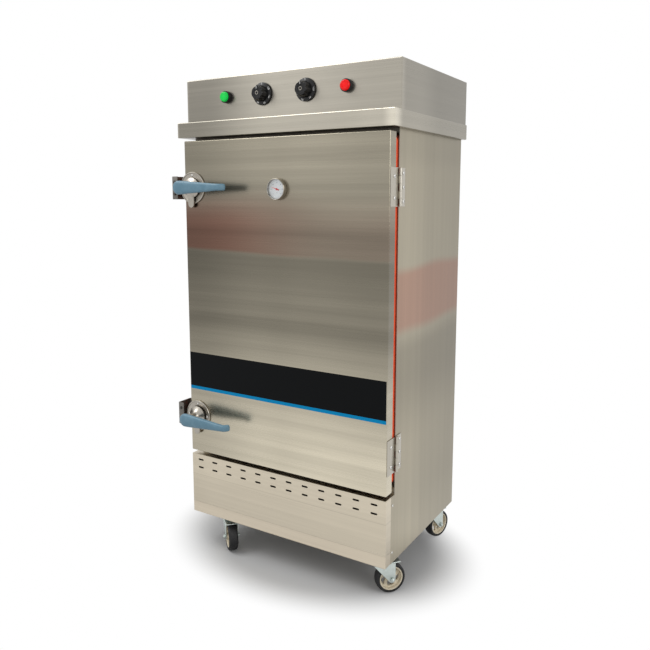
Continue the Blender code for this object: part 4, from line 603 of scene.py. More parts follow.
def hinge_leaf(level, kind):
    """One leaf: its plate, the fingers that reach the pin, and its knuckles."""
    body, knuckles, screw_levels, reach = LEAVES[kind]
    node = f"{level}_hinge_{kind}_leaf"
    low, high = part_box(node)
    pitch = (high.z - low.z) / KNUCKLE_COUNT
    wall_x = HINGE_AXIS.x - KNUCKLE_RADIUS
    toward = 1 if kind == "fixed" else -1
    near = HINGE_AXIS.y + toward * LEAF_START
    far = high.y if kind == "fixed" else low.y
    leaf = [block(f"{node}_plate", (wall_x, min(near, far), low.z),
                  (wall_x + LEAF_THICKNESS, max(near, far), high.z))]
    for knuckle in knuckles:
        bottom = low.z + pitch * knuckle + KNUCKLE_GAP / 2
        top = bottom + pitch - KNUCKLE_GAP
        barrel = turned(f"{node}_knuckle_{knuckle}", [
            (KNUCKLE_RADIUS - KNUCKLE_EDGE, bottom), (KNUCKLE_RADIUS, bottom + KNUCKLE_EDGE),
            (KNUCKLE_RADIUS, top - KNUCKLE_EDGE), (KNUCKLE_RADIUS - KNUCKLE_EDGE, top)],
            KNUCKLE_SIDES)
        leaf.append(moved(barrel, Matrix.Translation((HINGE_AXIS.x, HINGE_AXIS.y, 0))))
        back, front = sorted((HINGE_AXIS.y, near + toward * LEAF_EDGE))
        leaf.append(block(f"{node}_finger_{knuckle}", (wall_x, back, bottom + KNUCKLE_GAP),
                          (wall_x + LEAF_THICKNESS, front, top - KNUCKLE_GAP)))
    rounded(leaf[0], LEAF_EDGE, 2)
    fit(joined(f"{level}_{kind}_leaf", leaf), body, "dull_steel", hinge_steel, node)
    screws(f"{level}_{kind}_leaf_screws",
           [(wall_x + LEAF_THICKNESS, HINGE_AXIS.y + toward * reach, (low.z + high.z) / 2 + step)
            for step in screw_levels], "right", body, HINGE_SCREW_SCALE)


for level in ("lower", "upper"):
    hinge_leaf(level, "fixed")
    hinge_leaf(level, "door")
    low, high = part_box(f"{level}_hinge_fixed_leaf")
    for end, z, way in (("foot", low.z + PIN_HEAD, "down"), ("head", high.z - PIN_HEAD, "up")):
        rivet = turned(f"{level}_pin_{end}", PIN_HEAD_PROFILE, 24)
        fit(moved(rivet, aimed((HINGE_AXIS.x, HINGE_AXIS.y, z), way)), "cabinet", "polished_steel",
            bright_steel)

# Latches: a polished round flange screwed to the door, and a flared arm that
# turns in it, with a steel tongue behind. A blue plastic grip is pushed on the
# arm: round at the pivot, slimmer along the door, and bent back at its end.

FLANGE_SIDES = 64
FLANGE_PROFILE = mm((8.3, 0.3), (47.5, 0.3), (48, 0.9), (48, 3.8), (47.2, 5), (45.8, 5.3),
                    (44.2, 5), (43.4, 3.6), (42.6, 3.2), (18, 3.2), (15.5, 3.6), (15, 4.6),
                    (14.7, 5.7), (8.3, 5.7), (8.3, 0.3))
FLANGE_FACE = 0.0032
FLANGE_SCREW_RING = 0.0370
FLANGE_SCREW_SCALE = 0.9
ARM_SIDES = 56
ARM_BASE = 0.0060
ARM_RIM = 0.0030
ARM_BASE_RADIUS = 0.0300
ARM_NECK_RADIUS = 0.0125
ARM_FLARE = 0.0200
ARM_FLARE_POWER = 2.2
ARM_TOP = 0.0530
ARM_FLARE_STEPS = 9
TONGUE_HALF_WIDTH = 0.0110
TONGUE_BACK = 0.0063
TONGUE_FRONT = 0.0113
TONGUE_REACH = 0.0600
TONGUE_EDGE = 0.0006
GRIP_RING = 20
GRIP_RADIUS = 0.0210
GRIP_LENGTH = 0.1460
GRIP_LINE = 0.0620
GRIP_HALF_THICKNESS = 0.0090
GRIP_END_HALF_HEIGHT = 0.0100
GRIP_END_HALF_THICKNESS = 0.0075
GRIP_BEND_RADIUS = 0.0140
GRIP_BEND = radians(70)
GRIP_TIP = 0.0075
GRIP_TIP_STEPS = ((0.45, 0.98), (0.75, 0.88), (0.93, 0.68), (1.0, 0.42))
GRIP_FULLNESS = 0.62
GRIP_NOSE = 0.45

polished = Finish("polished_casting", METAL)
bloom = polished.noise(45, 4.0)
pit = polished.noise(420)
polished.set({"Base Color": polished.blend(bloom, (0.31, 0.285, 0.245), (0.47, 0.44, 0.39)),
              "Roughness": 0.20 + 0.18 * bloom + 0.06 * pit})
polished.emboss(pit, 0.12, 0.0004)
grip_blue = mottled("grip_blue", {"Specular IOR Level": 0.4}, (38, 4.0), (0.30, 0.20),
                    ((0.108, 0.220, 0.295), (0.160, 0.285, 0.365)), (0.3, 0.8), (0.15, 0.0003), 520)


def grip_sections():
    """The grip's sections: the middle of each, the way it faces in plan, and
    half its height and thickness."""
    sections = []
    for step in range(1, 7):
        swing = (pi / 2) * step / 6
        sections.append((-GRIP_RADIUS * cos(swing), -GRIP_LINE, 0.0, GRIP_RADIUS * sin(swing),
                         GRIP_HALF_THICKNESS * (GRIP_NOSE + (1 - GRIP_NOSE) * sin(swing))))
    for way in (0.25, 0.5, 0.75, 1.0):
        sections.append((GRIP_LENGTH * way, -GRIP_LINE, 0.0,
                         GRIP_RADIUS + (GRIP_END_HALF_HEIGHT - GRIP_RADIUS) * way,
                         GRIP_HALF_THICKNESS
                         + (GRIP_END_HALF_THICKNESS - GRIP_HALF_THICKNESS) * way))
    for step in range(1, 6):
        turn = GRIP_BEND * step / 5
        sections.append((GRIP_LENGTH + GRIP_BEND_RADIUS * sin(turn),
                         -GRIP_LINE + GRIP_BEND_RADIUS * (1 - cos(turn)), turn,
                         GRIP_END_HALF_HEIGHT, GRIP_END_HALF_THICKNESS))
    last_x, last_y = sections[-1][:2]
    for way, share in GRIP_TIP_STEPS:
        sections.append((last_x + GRIP_TIP * way * cos(GRIP_BEND),
                         last_y + GRIP_TIP * way * sin(GRIP_BEND), GRIP_BEND,
                         GRIP_END_HALF_HEIGHT * share, GRIP_END_HALF_THICKNESS * share))
    return sections


def filled_out(value):
    """A sine or cosine with its corners filled out, for a squarish section."""
    return abs(value) ** GRIP_FULLNESS * (1 if value >= 0 else -1)


def grip(level, place):
    """The moulded grip, drawn out from a disc through its sections."""
    piece = fresh(bpy.ops.mesh.primitive_circle_add, f"{level}_grip", vertices=GRIP_RING,
                  radius=GRIP_RADIUS, fill_type="NGON")
    opened(piece)
    for index, (x, y, turn, half_height, half_thickness) in enumerate(grip_sections()):
        if index:
            draw_out(0, 0, 0.001)
        mesh = bmesh.from_edit_mesh(piece.data)
        across = Vector((-sin(turn), cos(turn), 0))
        ring = next(face for face in mesh.faces if face.select and len(face.verts) == GRIP_RING)
        for step, corner in enumerate(sorted(ring.verts, key=lambda point: point.index)):
            angle = tau * step / GRIP_RING
            corner.co = (Vector((x, y, half_height * filled_out(sin(angle))))
                         + across * half_thickness * filled_out(cos(angle)))
        bmesh.update_edit_mesh(piece.data)
    modify(closed(piece), "SUBSURF", levels=1, render_levels=1)
    fit(moved(piece, Matrix.Translation(place)), f"{level}_latch", "blue_grip", grip_blue,
        f"{level}_latch_grip", smooth=60)


def round_corners(piece, chosen, offset, segments):
    """Rounds the corners whose edges are chosen, and leaves edit mode."""
    mesh = opened(piece)
    for edge in mesh.edges:
        edge.select_set(chosen(*[corner.co for corner in edge.verts]))
    bmesh.update_edit_mesh(piece.data)
    bpy.ops.mesh.bevel(offset=offset, segments=segments)
    bpy.ops.object.mode_set(mode="OBJECT")


def at_tongue_tip(first, second):
    middle = (first + second) / 2
    return middle.z < 0.001 - TONGUE_REACH and abs(middle.x) > TONGUE_HALF_WIDTH - 0.001


for level in ("lower", "upper"):
    place = joint_at(f"{level}_latch_turn")
    out = aimed(place, "front")
    flange = turned(f"{level}_flange", FLANGE_PROFILE, FLANGE_SIDES, ring=True)
    fit(moved(flange, out), "door", "polished_steel", polished, f"{level}_latch_flange")
    screws(f"{level}_flange_screws",
           [out @ Vector((FLANGE_SCREW_RING * cos(angle), FLANGE_SCREW_RING * sin(angle), FLANGE_FACE))
            for angle in (pi / 2, 0.0, -pi / 2, pi)], "front", "door", FLANGE_SCREW_SCALE)
    profile = [(0.0080, ARM_BASE - 0.0036), (0.0080, ARM_BASE), (ARM_BASE_RADIUS - 0.0008, ARM_BASE),
               (ARM_BASE_RADIUS, ARM_BASE + 0.0008), (ARM_BASE_RADIUS, ARM_BASE + ARM_RIM)]
    for step in range(1, ARM_FLARE_STEPS + 1):
        way = step / ARM_FLARE_STEPS
        narrow = (1 - way) ** ARM_FLARE_POWER
        profile.append((ARM_NECK_RADIUS + (ARM_BASE_RADIUS - ARM_NECK_RADIUS) * narrow,
                        ARM_BASE + ARM_RIM + ARM_FLARE * way))
    profile += [(ARM_NECK_RADIUS, ARM_TOP - 0.0010), (ARM_NECK_RADIUS - 0.0010, ARM_TOP)]
    arm = moved(turned(f"{level}_arm_casting", profile, ARM_SIDES), FACING["front"])
    tongue = block(f"{level}_tongue", (-TONGUE_HALF_WIDTH, -TONGUE_FRONT, -TONGUE_REACH),
                   (TONGUE_HALF_WIDTH, -TONGUE_BACK, 0.0))
    round_corners(tongue, at_tongue_tip, TONGUE_HALF_WIDTH * 0.98, 9)
    rounded(tongue, TONGUE_EDGE, 2, 50)
    whole = moved(joined(f"{level}_arm", [arm, tongue]), Matrix.Translation(place))
    fit(whole, f"{level}_latch", "polished_steel", polished, f"{level}_latch_arm")
    grip(level, place)

# Keepers: one strip of thick plate each, flat on the left side, bent out past
# the door's edge and round into a hook. Two screws hold the foot, and two
# bolts in the hook's front set how hard the tongue pulls the door shut.

KEEPER_THICKNESS = 0.0030
KEEPER_BEND = 0.0045
KEEPER_BEND_STEPS = 4
KEEPER_EDGE = 0.0007
KEEPER_LIP = 0.0235
KEEPER_STEP = 0.012
KEEPER_SCREW_INSET = 0.014
KEEPER_SCREW_RISES = (-0.018, 0.018)
BOLT_INSET = 0.0125


def bent(points, radius):
    """A run of points in plan, with each inner corner rounded to a radius."""
    points = [Vector(point) for point in points]
    run = [points[0]]
    for before, corner, after in zip(points, points[1:], points[2:]):
        start = corner - (corner - before).normalized() * radius
        end = corner + (after - corner).normalized() * radius
        for step in range(KEEPER_BEND_STEPS + 1):
            way = step / KEEPER_BEND_STEPS
            run.append(start * (1 - way) ** 2 + corner * 2 * way * (1 - way) + end * way ** 2)
    return run + [points[-1]]


def strip(name, route, low, high):
    """A strip standing on edge, drawn out from a plane along a route in plan."""
    piece = fresh(bpy.ops.mesh.primitive_plane_add, name, size=1.0)
    opened(piece)
    bpy.ops.mesh.select_mode(type="VERT")
    mesh = bmesh.from_edit_mesh(piece.data)
    for corner in mesh.verts:
        spot = route[1] if corner.co.x > 0 else route[0]
        corner.co = (*spot, high if corner.co.y > 0 else low)
    for before, after in zip(route[1:], route[2:]):
        for corner in mesh.verts:
            corner.select = (corner.co.xy - before).length < 0.000001
        mesh.select_flush_mode()
        bmesh.update_edit_mesh(piece.data)
        draw_out(*(after - before), 0)
        mesh = bmesh.from_edit_mesh(piece.data)
    bpy.ops.object.mode_set(mode="OBJECT")
    return piece


bolt_master = turned("bolt_master", mm((4.8, 0), (5, 0.4), (5, 3), (4.5, 3.6), (1.5, 3.7)), 6)
rounded(bolt_master, 0.0002, 1)
keeper_steel = brushed("keeper_steel", (0.17, 0.160, 0.145), "upright", 0.46, 0.14)
bolt_black = mottled("blackened_bolts", METAL, (300, 3.0), (0.28, 0.22),
                     ((0.045, 0.043, 0.040), (0.13, 0.125, 0.115)))
for level in ("lower", "upper"):
    low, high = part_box(f"{level}_keeper")
    half = KEEPER_THICKNESS / 2
    step_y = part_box("front_frame")[0].y - KEEPER_STEP
    route = bent([(high.x - half, high.y), (high.x - half, step_y), (low.x + half, step_y),
                  (low.x + half, low.y + half), (low.x + KEEPER_LIP, low.y + half)], KEEPER_BEND)
    hook = strip(f"{level}_hook", route, low.z, high.z)
    modify(hook, "SOLIDIFY", thickness=KEEPER_THICKNESS, offset=0.0, use_even_offset=True)
    rounded(hook, KEEPER_EDGE, 2, 50)
    fit(hook, "cabinet", "dull_steel", keeper_steel, f"{level}_keeper")
    middle_z = (low.z + high.z) / 2
    screws(f"{level}_keeper_screws",
           [(high.x - KEEPER_THICKNESS, high.y - KEEPER_SCREW_INSET, middle_z + rise)
            for rise in KEEPER_SCREW_RISES], "left", "cabinet")
    bolts = [copied(bolt_master, f"{level}_keeper_bolt",
                    aimed((low.x + BOLT_INSET, low.y, middle_z + rise), "front"))
             for rise in KEEPER_SCREW_RISES]
    fit(joined(f"{level}_keeper_bolts", bolts), "cabinet", "polished_steel", bolt_black)

# Thermometer: a bright turned cup with a stem through the door, a white dial
# printed with a scale, a red needle on its spindle and a flat glass.

DIAL_SIDES = 72
CASE_PROFILE = mm((4, -12), (4, 0.3), (29.5, 0.3), (30.5, 1), (30.5, 11.8), (30, 13.6),
                  (29.3, 14.8), (28.6, 15), (28.1, 14.6), (28, 13.8), (28, 4), (14, 4))
DIAL_PROFILE = mm((1.3, 4.3), (27.7, 4.3), (27.7, 5.3), (1.3, 5.3), (1.3, 4.3))
BOSS_PROFILE = mm((1, 4.4), (1, 6.7), (3, 6.7), (3.2, 7.1), (2.8, 7.9), (1.4, 8.2))
GLASS_PROFILE = mm((27.5, 12.3), (27.7, 12.5), (27.7, 13.5), (27.4, 13.8))
DIAL_FACE = 0.0053
PRINT_THICKNESS = 0.00012
SCALE_START = radians(225)
SCALE_SWEEP = radians(270)
SCALE_RADIUS = 0.0235
SCALE_MARKS = 60
SCALE_NUMBERS = ("0", "20", "40", "60", "80", "100", "120")
NUMBER_RADIUS = 0.0180
NUMBER_SIZE = 0.0042
UNIT_DROP = 0.0105
NEEDLE_BACK = 0.0067
NEEDLE_FRONT = 0.0075
NEEDLE_REST = radians(162)
POINTER_LENGTH = 0.0200
POINTER_HALF = 0.0012
POINTER_TIP_SHARE = 0.18
TAIL_LENGTH = 0.0085
TAIL_HALF = 0.0015
FINE_MARK = (0.0, 0.0012, 0.00012)
BOLD_MARK = (0.0010, 0.0016, 0.00026)

dial_at = joint_at("thermometer_needle_turn")
dial_out = aimed(dial_at, "front")
stem_end = dial_at.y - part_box("thermometer_case")[1].y
case = turned("dial_case", [(0.0012, stem_end), (0.004, stem_end + 0.004)] + CASE_PROFILE, DIAL_SIDES)
fit(moved(case, dial_out), "door", "polished_steel", polished, "thermometer_case")
dial = turned("dial_face", DIAL_PROFILE, DIAL_SIDES, ring=True)
fit(moved(dial, dial_out), "door", "dial_white",
    mottled("dial_paper", {"Specular IOR Level": 0.3}, (300, 3.0), (0.50, 0.10),
            ((0.94, 0.95, 0.97), (0.98, 0.98, 0.99))), "thermometer_dial")


def number(text, size, place, thickness, matrix):
    """A printed number: upright lettering of its own on a face."""
    curve = bpy.data.curves.new("number_" + text, "FONT")
    curve.body = text
    curve.size = size
    curve.align_x = "CENTER"
    curve.align_y = "CENTER"
    curve.extrude = thickness / 2
    curve.resolution_u = 3
    holder = bpy.data.objects.new("number_" + text, curve)
    bpy.context.collection.objects.link(holder)
    take(holder)
    bpy.ops.object.convert(target="MESH")
    return moved(bpy.context.object, matrix @ Matrix.Translation(place))


def marks(count, mark, lift):
    """A ring of short printed lines, each pointing at the middle. A mark is how
    far it goes in and out from the scale's circle, and half its width."""
    inward, outward, half_width = mark
    return [moved(block(f"mark_{index}", (SCALE_RADIUS - inward, -half_width, lift),
                        (SCALE_RADIUS + outward, half_width, lift + PRINT_THICKNESS)),
                  Matrix.Rotation(SCALE_START - SCALE_SWEEP * index / (count - 1), 4, "Z"))
            for index in range(count)]


scale_ink = mottled("scale_ink", {"Base Color": (0.10, 0.12, 0.15)}, (900,), (0.45, 0.2))
fine = marks(SCALE_MARKS + 1, FINE_MARK, DIAL_FACE)
bold = marks(len(SCALE_NUMBERS), BOLD_MARK, DIAL_FACE + PRINT_THICKNESS)
fit(moved(joined("dial_scale", fine + bold), dial_out), "door", "black_plastic", scale_ink)
print_lift = DIAL_FACE + PRINT_THICKNESS / 2
numbers = []
for index, text in enumerate(SCALE_NUMBERS):
    angle = SCALE_START - SCALE_SWEEP * index / (len(SCALE_NUMBERS) - 1)
    numbers.append(number(text, NUMBER_SIZE, (NUMBER_RADIUS * cos(angle),
                                              NUMBER_RADIUS * sin(angle), print_lift),
                          PRINT_THICKNESS, dial_out))
numbers.append(number("°C", NUMBER_SIZE, (0.0, -UNIT_DROP, print_lift), PRINT_THICKNESS, dial_out))
fit(joined("dial_numbers", numbers), "door", "black_plastic", scale_ink)

pointer = block("needle_pointer", (0.0, -POINTER_HALF, NEEDLE_BACK),
                (POINTER_LENGTH, POINTER_HALF, NEEDLE_FRONT))
for corner in pointer.data.vertices:
    if corner.co.x > POINTER_LENGTH / 2:
        corner.co.y *= POINTER_TIP_SHARE
tail = block("needle_tail", (-TAIL_LENGTH, -TAIL_HALF, NEEDLE_BACK), (0.0, TAIL_HALF, NEEDLE_FRONT))
boss = turned("needle_boss", BOSS_PROFILE, 32)
for part in (pointer, tail):
    rounded(part, 0.00018, 2)
needle = moved(joined("red_needle", [pointer, tail, boss]),
               dial_out @ Matrix.Rotation(NEEDLE_REST, 4, "Z"))
fit(needle, "thermometer_needle", "needle_red",
    mottled("needle_paint", {"Base Color": (0.72, 0.015, 0.015)}, (700,), (0.35, 0.2)),
    "thermometer_needle")
pane = turned("dial_pane", GLASS_PROFILE, DIAL_SIDES)
fit(moved(pane, dial_out), "door", "clear_glass",
    mottled("dial_glass", {"Base Color": (0.97, 0.99, 0.99), "Transmission Weight": 1.0,
                           "IOR": 1.45}, (120, 4.0), (0.02, 0.05)), "thermometer_glass")

# Knobs: black moulded plastic on a round skirt that carries a ring of white
# numbers. The cap is scalloped for the fingers, with a raised pointer on its
# crown and a bright eye let into its middle.

KNOB_SIDES = 112
KNOB_BACK = 0.0015
KNOB_FLUTES = 7
FLUTE_DEPTH = 0.0026
FLUTE_POWER = 1.6
KNOB_SKIRT = 0.0050
SKIRT_PROFILE = mm((3, 0), (31.6, 0), (32, 0.5), (32, 3), (31.4, 4.2), (30, 5), (10, 5))
CAP_STEPS = ((22.5, 4, 1.0), (22.3875, 6, 1.0), (21.7125, 14, 1.0), (20.8125, 22, 0.95),
             (19.5, 26.8, 0.80), (18.7, 28.8, 0.60), (17.1, 30, 0.35), (11.5, 30, 0.0),
             (10.8, 29.5, 0.0), (10.4, 28.6, 0.0), (5.8, 28.5, 0.0))
CROWN_RADIUS = 0.012
EYE_PROFILE = mm((3.8, 28.4), (5.2, 28.4), (5.2, 29.5), (4.8, 29.8), (4.2, 29.8), (3.8, 29.5),
                 (3.8, 28.4))
RIB_TOP = 0.0310
RIB = (0.0014, 0.0098, 0.0207)
RIB_LINE = (0.0006, 0.0112, 0.0193)
KNOB_NUMBER_RADIUS = 0.0272
KNOB_NUMBER_SIZE = 0.0070
KNOB_PRINT = 0.00015

knob_black = mottled("knob_black", {"Base Color": (0.006, 0.006, 0.0065), "Coat Weight": 0.06,
                                    "Coat Roughness": 0.12, "Specular IOR Level": 0.30},
                     (60, 3.0), (0.22, 0.20), bump=(0.10, 0.0002), relief=450)
white_print = mottled("white_print", {"Base Color": (0.93, 0.93, 0.91)}, (800,), (0.45, 0.2))


def upright(name, bar, low, high):
    """A bar above a knob's middle: half its width, and where it starts and ends."""
    half_width, start, end = bar
    return block(name, (-half_width, start, low), (half_width, end, high))


def knob(name, texts, sweep):
    """One knob with its numbers; the first number is at the pointer."""
    low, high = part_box(f"{name}_knob")
    back = hood_low.y - KNOB_BACK
    out = aimed(((low.x + high.x) / 2, back, joint_at(f"{name}_turn").z), "front")
    skirt = turned(f"{name}_skirt", [(0.0030, back - high.y)] + SKIRT_PROFILE, 72)
    cap = turned(f"{name}_cap", mm(*[step[:2] for step in CAP_STEPS]), KNOB_SIDES)
    flutes = {height: flute for radius, height, flute in CAP_STEPS}
    for corner in cap.data.vertices:
        flute = flutes.get(round(corner.co.z * 1000, 2), 0.0)
        radius = corner.co.xy.length
        if flute and radius > CROWN_RADIUS:
            angle = corner.co.xy.angle_signed(Vector((0, 1)))
            dip = max(0.0, -cos(KNOB_FLUTES * angle)) ** FLUTE_POWER
            corner.co.xy *= 1 - FLUTE_DEPTH * flute * dip / radius
    rib = upright(f"{name}_rib", RIB, KNOB_SKIRT + 0.0005, RIB_TOP)
    rounded(rib, 0.0006, 3)
    whole = moved(joined(f"{name}_cap_and_skirt", [skirt, cap, rib]), out)
    fit(whole, f"{name}_knob", "black_plastic", knob_black, f"{name}_knob")
    prints = [moved(upright(f"{name}_line", RIB_LINE, RIB_TOP, RIB_TOP + KNOB_PRINT), out)]
    for index, text in enumerate(texts):
        turn = Matrix.Rotation(sweep * index / (len(texts) - 1), 4, "Z")
        spot = (0.0, KNOB_NUMBER_RADIUS, KNOB_SKIRT + KNOB_PRINT / 2)
        prints.append(number(text, KNOB_NUMBER_SIZE, spot, KNOB_PRINT, out @ turn))
    fit(joined(f"{name}_numbers", prints), f"{name}_knob", "dial_white", white_print)
    eye = turned(f"{name}_eye", EYE_PROFILE, 40, ring=True)
    fit(moved(eye, out), f"{name}_knob", "polished_steel", polished)


knob("timer", ("0", "20", "40", "60", "80", "100", "120"), radians(300))
knob("thermostat", ("0", "30", "50", "70", "90", "110"), radians(270))

# Indicator lamps: a black bezel screwed through the panel, and a coloured lens
# with a domed front and fine rings moulded inside it, which glows when lit.

LENS_SIDES = 56
BEZEL_PROFILE = mm((10.8, -32), (11, -31), (11, 0.3), (17.4, 0.3), (17.6, 0.6), (17.6, 11.2),
                   (17.2, 12.4), (16.4, 13), (15, 13), (6, 12.8))
LENS_PROFILE = mm((14.3, 13.3), (14.5, 13.8), (14.5, 15), (14.1, 15.8), (14, 17), (13.7, 18.2),
                  (13, 19.1), (11.8, 19.6), (9, 19.6), (8.6, 19.3), (6, 19.3), (5.6, 19.6),
                  (1, 19.6))
GLOW_REACH = (0.014, 0.0235)
MOULDED_RINGS = 5200.0
for name, deep, pale_tint in (("green_lamp", (0.0, 0.42, 0.05), (0.0, 0.66, 0.08)),
                              ("red_lamp", (0.60, 0.0, 0.0), (0.92, 0.004, 0.004))):
    low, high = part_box(f"{name}_lens")
    place = ((low.x + high.x) / 2, hood_low.y, (low.z + high.z) / 2)
    bezel = turned(f"{name}_ring", BEZEL_PROFILE, LENS_SIDES)
    fit(moved(bezel, aimed(place, "front")), "cabinet", "black_plastic", knob_black, f"{name}_bezel")
    lens = turned(f"{name}_cap", LENS_PROFILE, LENS_SIDES)
    glow = Finish(f"{name}_glow", {"IOR": 1.49, "Coat Weight": 0.15, "Coat Roughness": 0.06,
                                   "Specular IOR Level": 0.25, "Emission Strength": 0.45})
    centre = glow.add("VectorMath", {"operation": "DISTANCE"}, {0: glow.place(), 1: place}, "Value")
    tint = glow.blend(centre.ramp(*GLOW_REACH, 1.0, 0.0), deep, pale_tint)
    glow.set({"Base Color": tint, "Emission Color": tint,
              "Roughness": 0.14 + 0.10 * glow.noise(150)})
    glow.emboss(glow.add("Math", {"operation": "SINE"}, {0: centre * MOULDED_RINGS}), 0.15, 0.0003)
    fit(moved(lens, aimed(place, "front")), "cabinet", name.replace("lamp", "lens"), glow,
        f"{name}_lens")

# Base: a vented skirt with two rows of slots over a plain rail, and a pan
# behind them. The skirt has a faint fold line where it was stiffened.

SKIRT_TONE = (0.505, 0.452, 0.360)
# Painted light on the skirt: darker towards the bottom and a little darker at its left end.
SKIRT_PAINTED_LIGHT = (("Z", 0.16, 0.25, 0.12), ("X", -0.33, -0.24, 0.06))
RAIL_TONE = (0.580, 0.512, 0.408)
FOLD_LINE = 0.130
dress(brushed("skirt_steel", SKIRT_TONE, "level", 0.30, 0.13, (cabinet_base + FOLD_LINE,),
              SKIRT_PAINTED_LIGHT), "vent_skirt")
dress(brushed("rail_steel", RAIL_TONE, "level", 0.31, 0.12), "base_rail")
dress(brushed("pan_steel", BACK_TONE, "level", 0.45, 0.08), "base_pan")

# Casters: a zinc plated top plate bolted to the base, a pressed fork that
# swivels under it on a ball race, and a wheel with a black rubber tyre on a
# cream plastic centre with five leaning windows.

WHEEL_SIDES = 72
HALF_TYRE = mm((35.8, 11.8), (36.8, 14.6), (38.4, 15), (40.4, 14.8), (42.2, 13.4), (43.6, 10.6),
               (44.3, 6.6), (44.5, 2.2))
HALF_CENTRE = mm((4.3, 16.5), (9.8, 16.5), (10.5, 15.9), (10.6, 7), (11.2, 3.8), (12.6, 2.5),
                 (30, 2.5), (31.2, 3.6), (31.8, 11.8), (32.4, 13.4), (34.8, 13.7), (35.5, 12.9))
WINDOW_COUNT = 5
WINDOW_HALF = 0.0080
WINDOW_INNER = (0.0145, 0.0, radians(26), 4)
WINDOW_OUTER = (0.0280, radians(68), radians(24), 8)
AXLE_HEIGHT = 0.0445
AXLE_PROFILE = mm((3, -27.8), (3.9, -27.2), (3.9, 27.2), (3, 27.8))
NUT_OUT = 0.0207
NUT_SCALE = 1.36
FORK_HALF = 0.0180
FORK_SHEET = 0.0025
TRAIL = 0.0360
CROWN_BACK = 0.0200
CROWN_AHEAD = 0.0260
CROWN_THICKNESS = 0.0030
BOSS_RADIUS = 0.0100
PLATE_HALF = 0.0310
PLATE_BOTTOM = 0.0100
PLATE_TOP = 0.0130
PLATE_CORNER = 0.0060
PLATE_BOLT = 0.0235
PLATE_BOLT_SCALE = 0.9
WHEEL_REST = (0.4, 1.3)
RACE_PROFILE = mm((21.2, 10.2), (21.2, 7.8), (20.4, 6.2), (20.4, 4.4), (20.9, 3.2), (20.4, 1),
                  (18.8, 0.1), (6, 0.1))

zinc = Finish("zinc_plating", METAL)
spangle = zinc.noise(150, 3.0, 0.6)
stain = zinc.noise(28, 3.0)
zinc.set({"Base Color": zinc.blend(spangle * 0.6 + stain * 0.4, (0.36, 0.40, 0.38),
                                   (0.66, 0.72, 0.69)),
          "Roughness": 0.26 + 0.22 * stain})
zinc.emboss(spangle, 0.12, 0.0004)
tyre_rubber = mottled("tyre_rubber", {"Specular IOR Level": 0.35}, (180, 5.0, 0.65), (0.48, 0.22),
                      ((0.010, 0.010, 0.011), (0.045, 0.043, 0.040)), (0.45, 0.8), (0.3, 0.0004))
cream = mottled("cream_nylon", {"Specular IOR Level": 0.45}, (90, 4.0), (0.36, 0.2),
                ((0.66, 0.585, 0.44), (0.80, 0.73, 0.585)), (0.35, 0.8), (0.15, 0.0004))


def cut_sheet(name, outline, low, high):
    """A plate from one height to another: a flat face with a corner for each
    point, its corners put on the outline, drawn up to its thickness."""
    piece = fresh(bpy.ops.mesh.primitive_circle_add, name, vertices=len(outline), fill_type="NGON")
    for corner, (x, y) in zip(opened(piece).verts, outline):
        corner.co = (x, y, low)
    bmesh.update_edit_mesh(piece.data)
    draw_out(0, 0, high - low)
    return closed(piece)


def swung(radius, start, end, steps, middle=(0.0, 0.0)):
    """Points along an arc in plan."""
    angles = [start + (end - start) * step / steps for step in range(steps + 1)]
    return [(middle[0] + radius * cos(a), middle[1] + radius * sin(a)) for a in angles]


def wheel_ring(name, half):
    """A ring with both sides alike, from the half of its profile on one side."""
    other = [(radius, -height) for radius, height in reversed(half)]
    return turned(name, half + other + half[:1], WHEEL_SIDES, ring=True)


tyre_master = wheel_ring("tyre_master", HALF_TYRE)
centre_master = wheel_ring("centre_master", HALF_CENTRE)
for index in range(WINDOW_COUNT):
    turn = tau * index / WINDOW_COUNT
    outline = [point for radius, start, end, steps in (WINDOW_INNER, WINDOW_OUTER)
               for point in swung(radius, turn + start, turn + end, steps)]
    cut(centre_master, cut_sheet("window", outline, -WINDOW_HALF, WINDOW_HALF))
rounded(centre_master, 0.0005, 1, 55)

race_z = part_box("front_left_caster_plate")[0].z
crown_top = race_z - 0.0003
crown_foot = crown_top - CROWN_THICKNESS
lean = Vector((TRAIL + CROWN_BACK, AXLE_HEIGHT - crown_top)).angle_signed(Vector((1, 0))) - pi / 2
leg_outline = ([(-CROWN_BACK, crown_foot)] + swung(BOSS_RADIUS, lean, 0.0, 12, (TRAIL, AXLE_HEIGHT))
               + [(TRAIL + BOSS_RADIUS, crown_foot)])
legs = []
for side in (1, -1):
    leg = cut_sheet("fork_leg", leg_outline, -FORK_SHEET / 2, FORK_SHEET / 2)
    rounded(leg, 0.0006, 2, 50)
    legs.append(moved(leg, aimed((0, side * (FORK_HALF + FORK_SHEET / 2), 0), "front")))
crown = block("fork_crown", (-CROWN_BACK, -FORK_HALF - FORK_SHEET, crown_foot - 0.0004),
              (TRAIL + CROWN_AHEAD, FORK_HALF + FORK_SHEET, crown_top))
rounded(crown, 0.0014, 3)
swivel_cup = turned("swivel_cup", [
    (0.0150, crown_top - 0.0030), (0.0148, crown_top - 0.0038), (0.0110, crown_top - 0.0044),
    (0.0070, crown_top - 0.0045)], 48)
axle = turned("axle", AXLE_PROFILE, 28)
nuts = [copied(bolt_master, "axle_nut", aimed((0, 0, z), way) @ Matrix.Scale(NUT_SCALE, 4))
        for z, way in ((NUT_OUT, "up"), (-NUT_OUT, "down"))]
hub_bolt = moved(joined("axle_and_nuts", [axle] + nuts), aimed((TRAIL, 0, AXLE_HEIGHT), "front"))
fork_master = joined("fork_master", [crown, swivel_cup, hub_bolt] + legs)

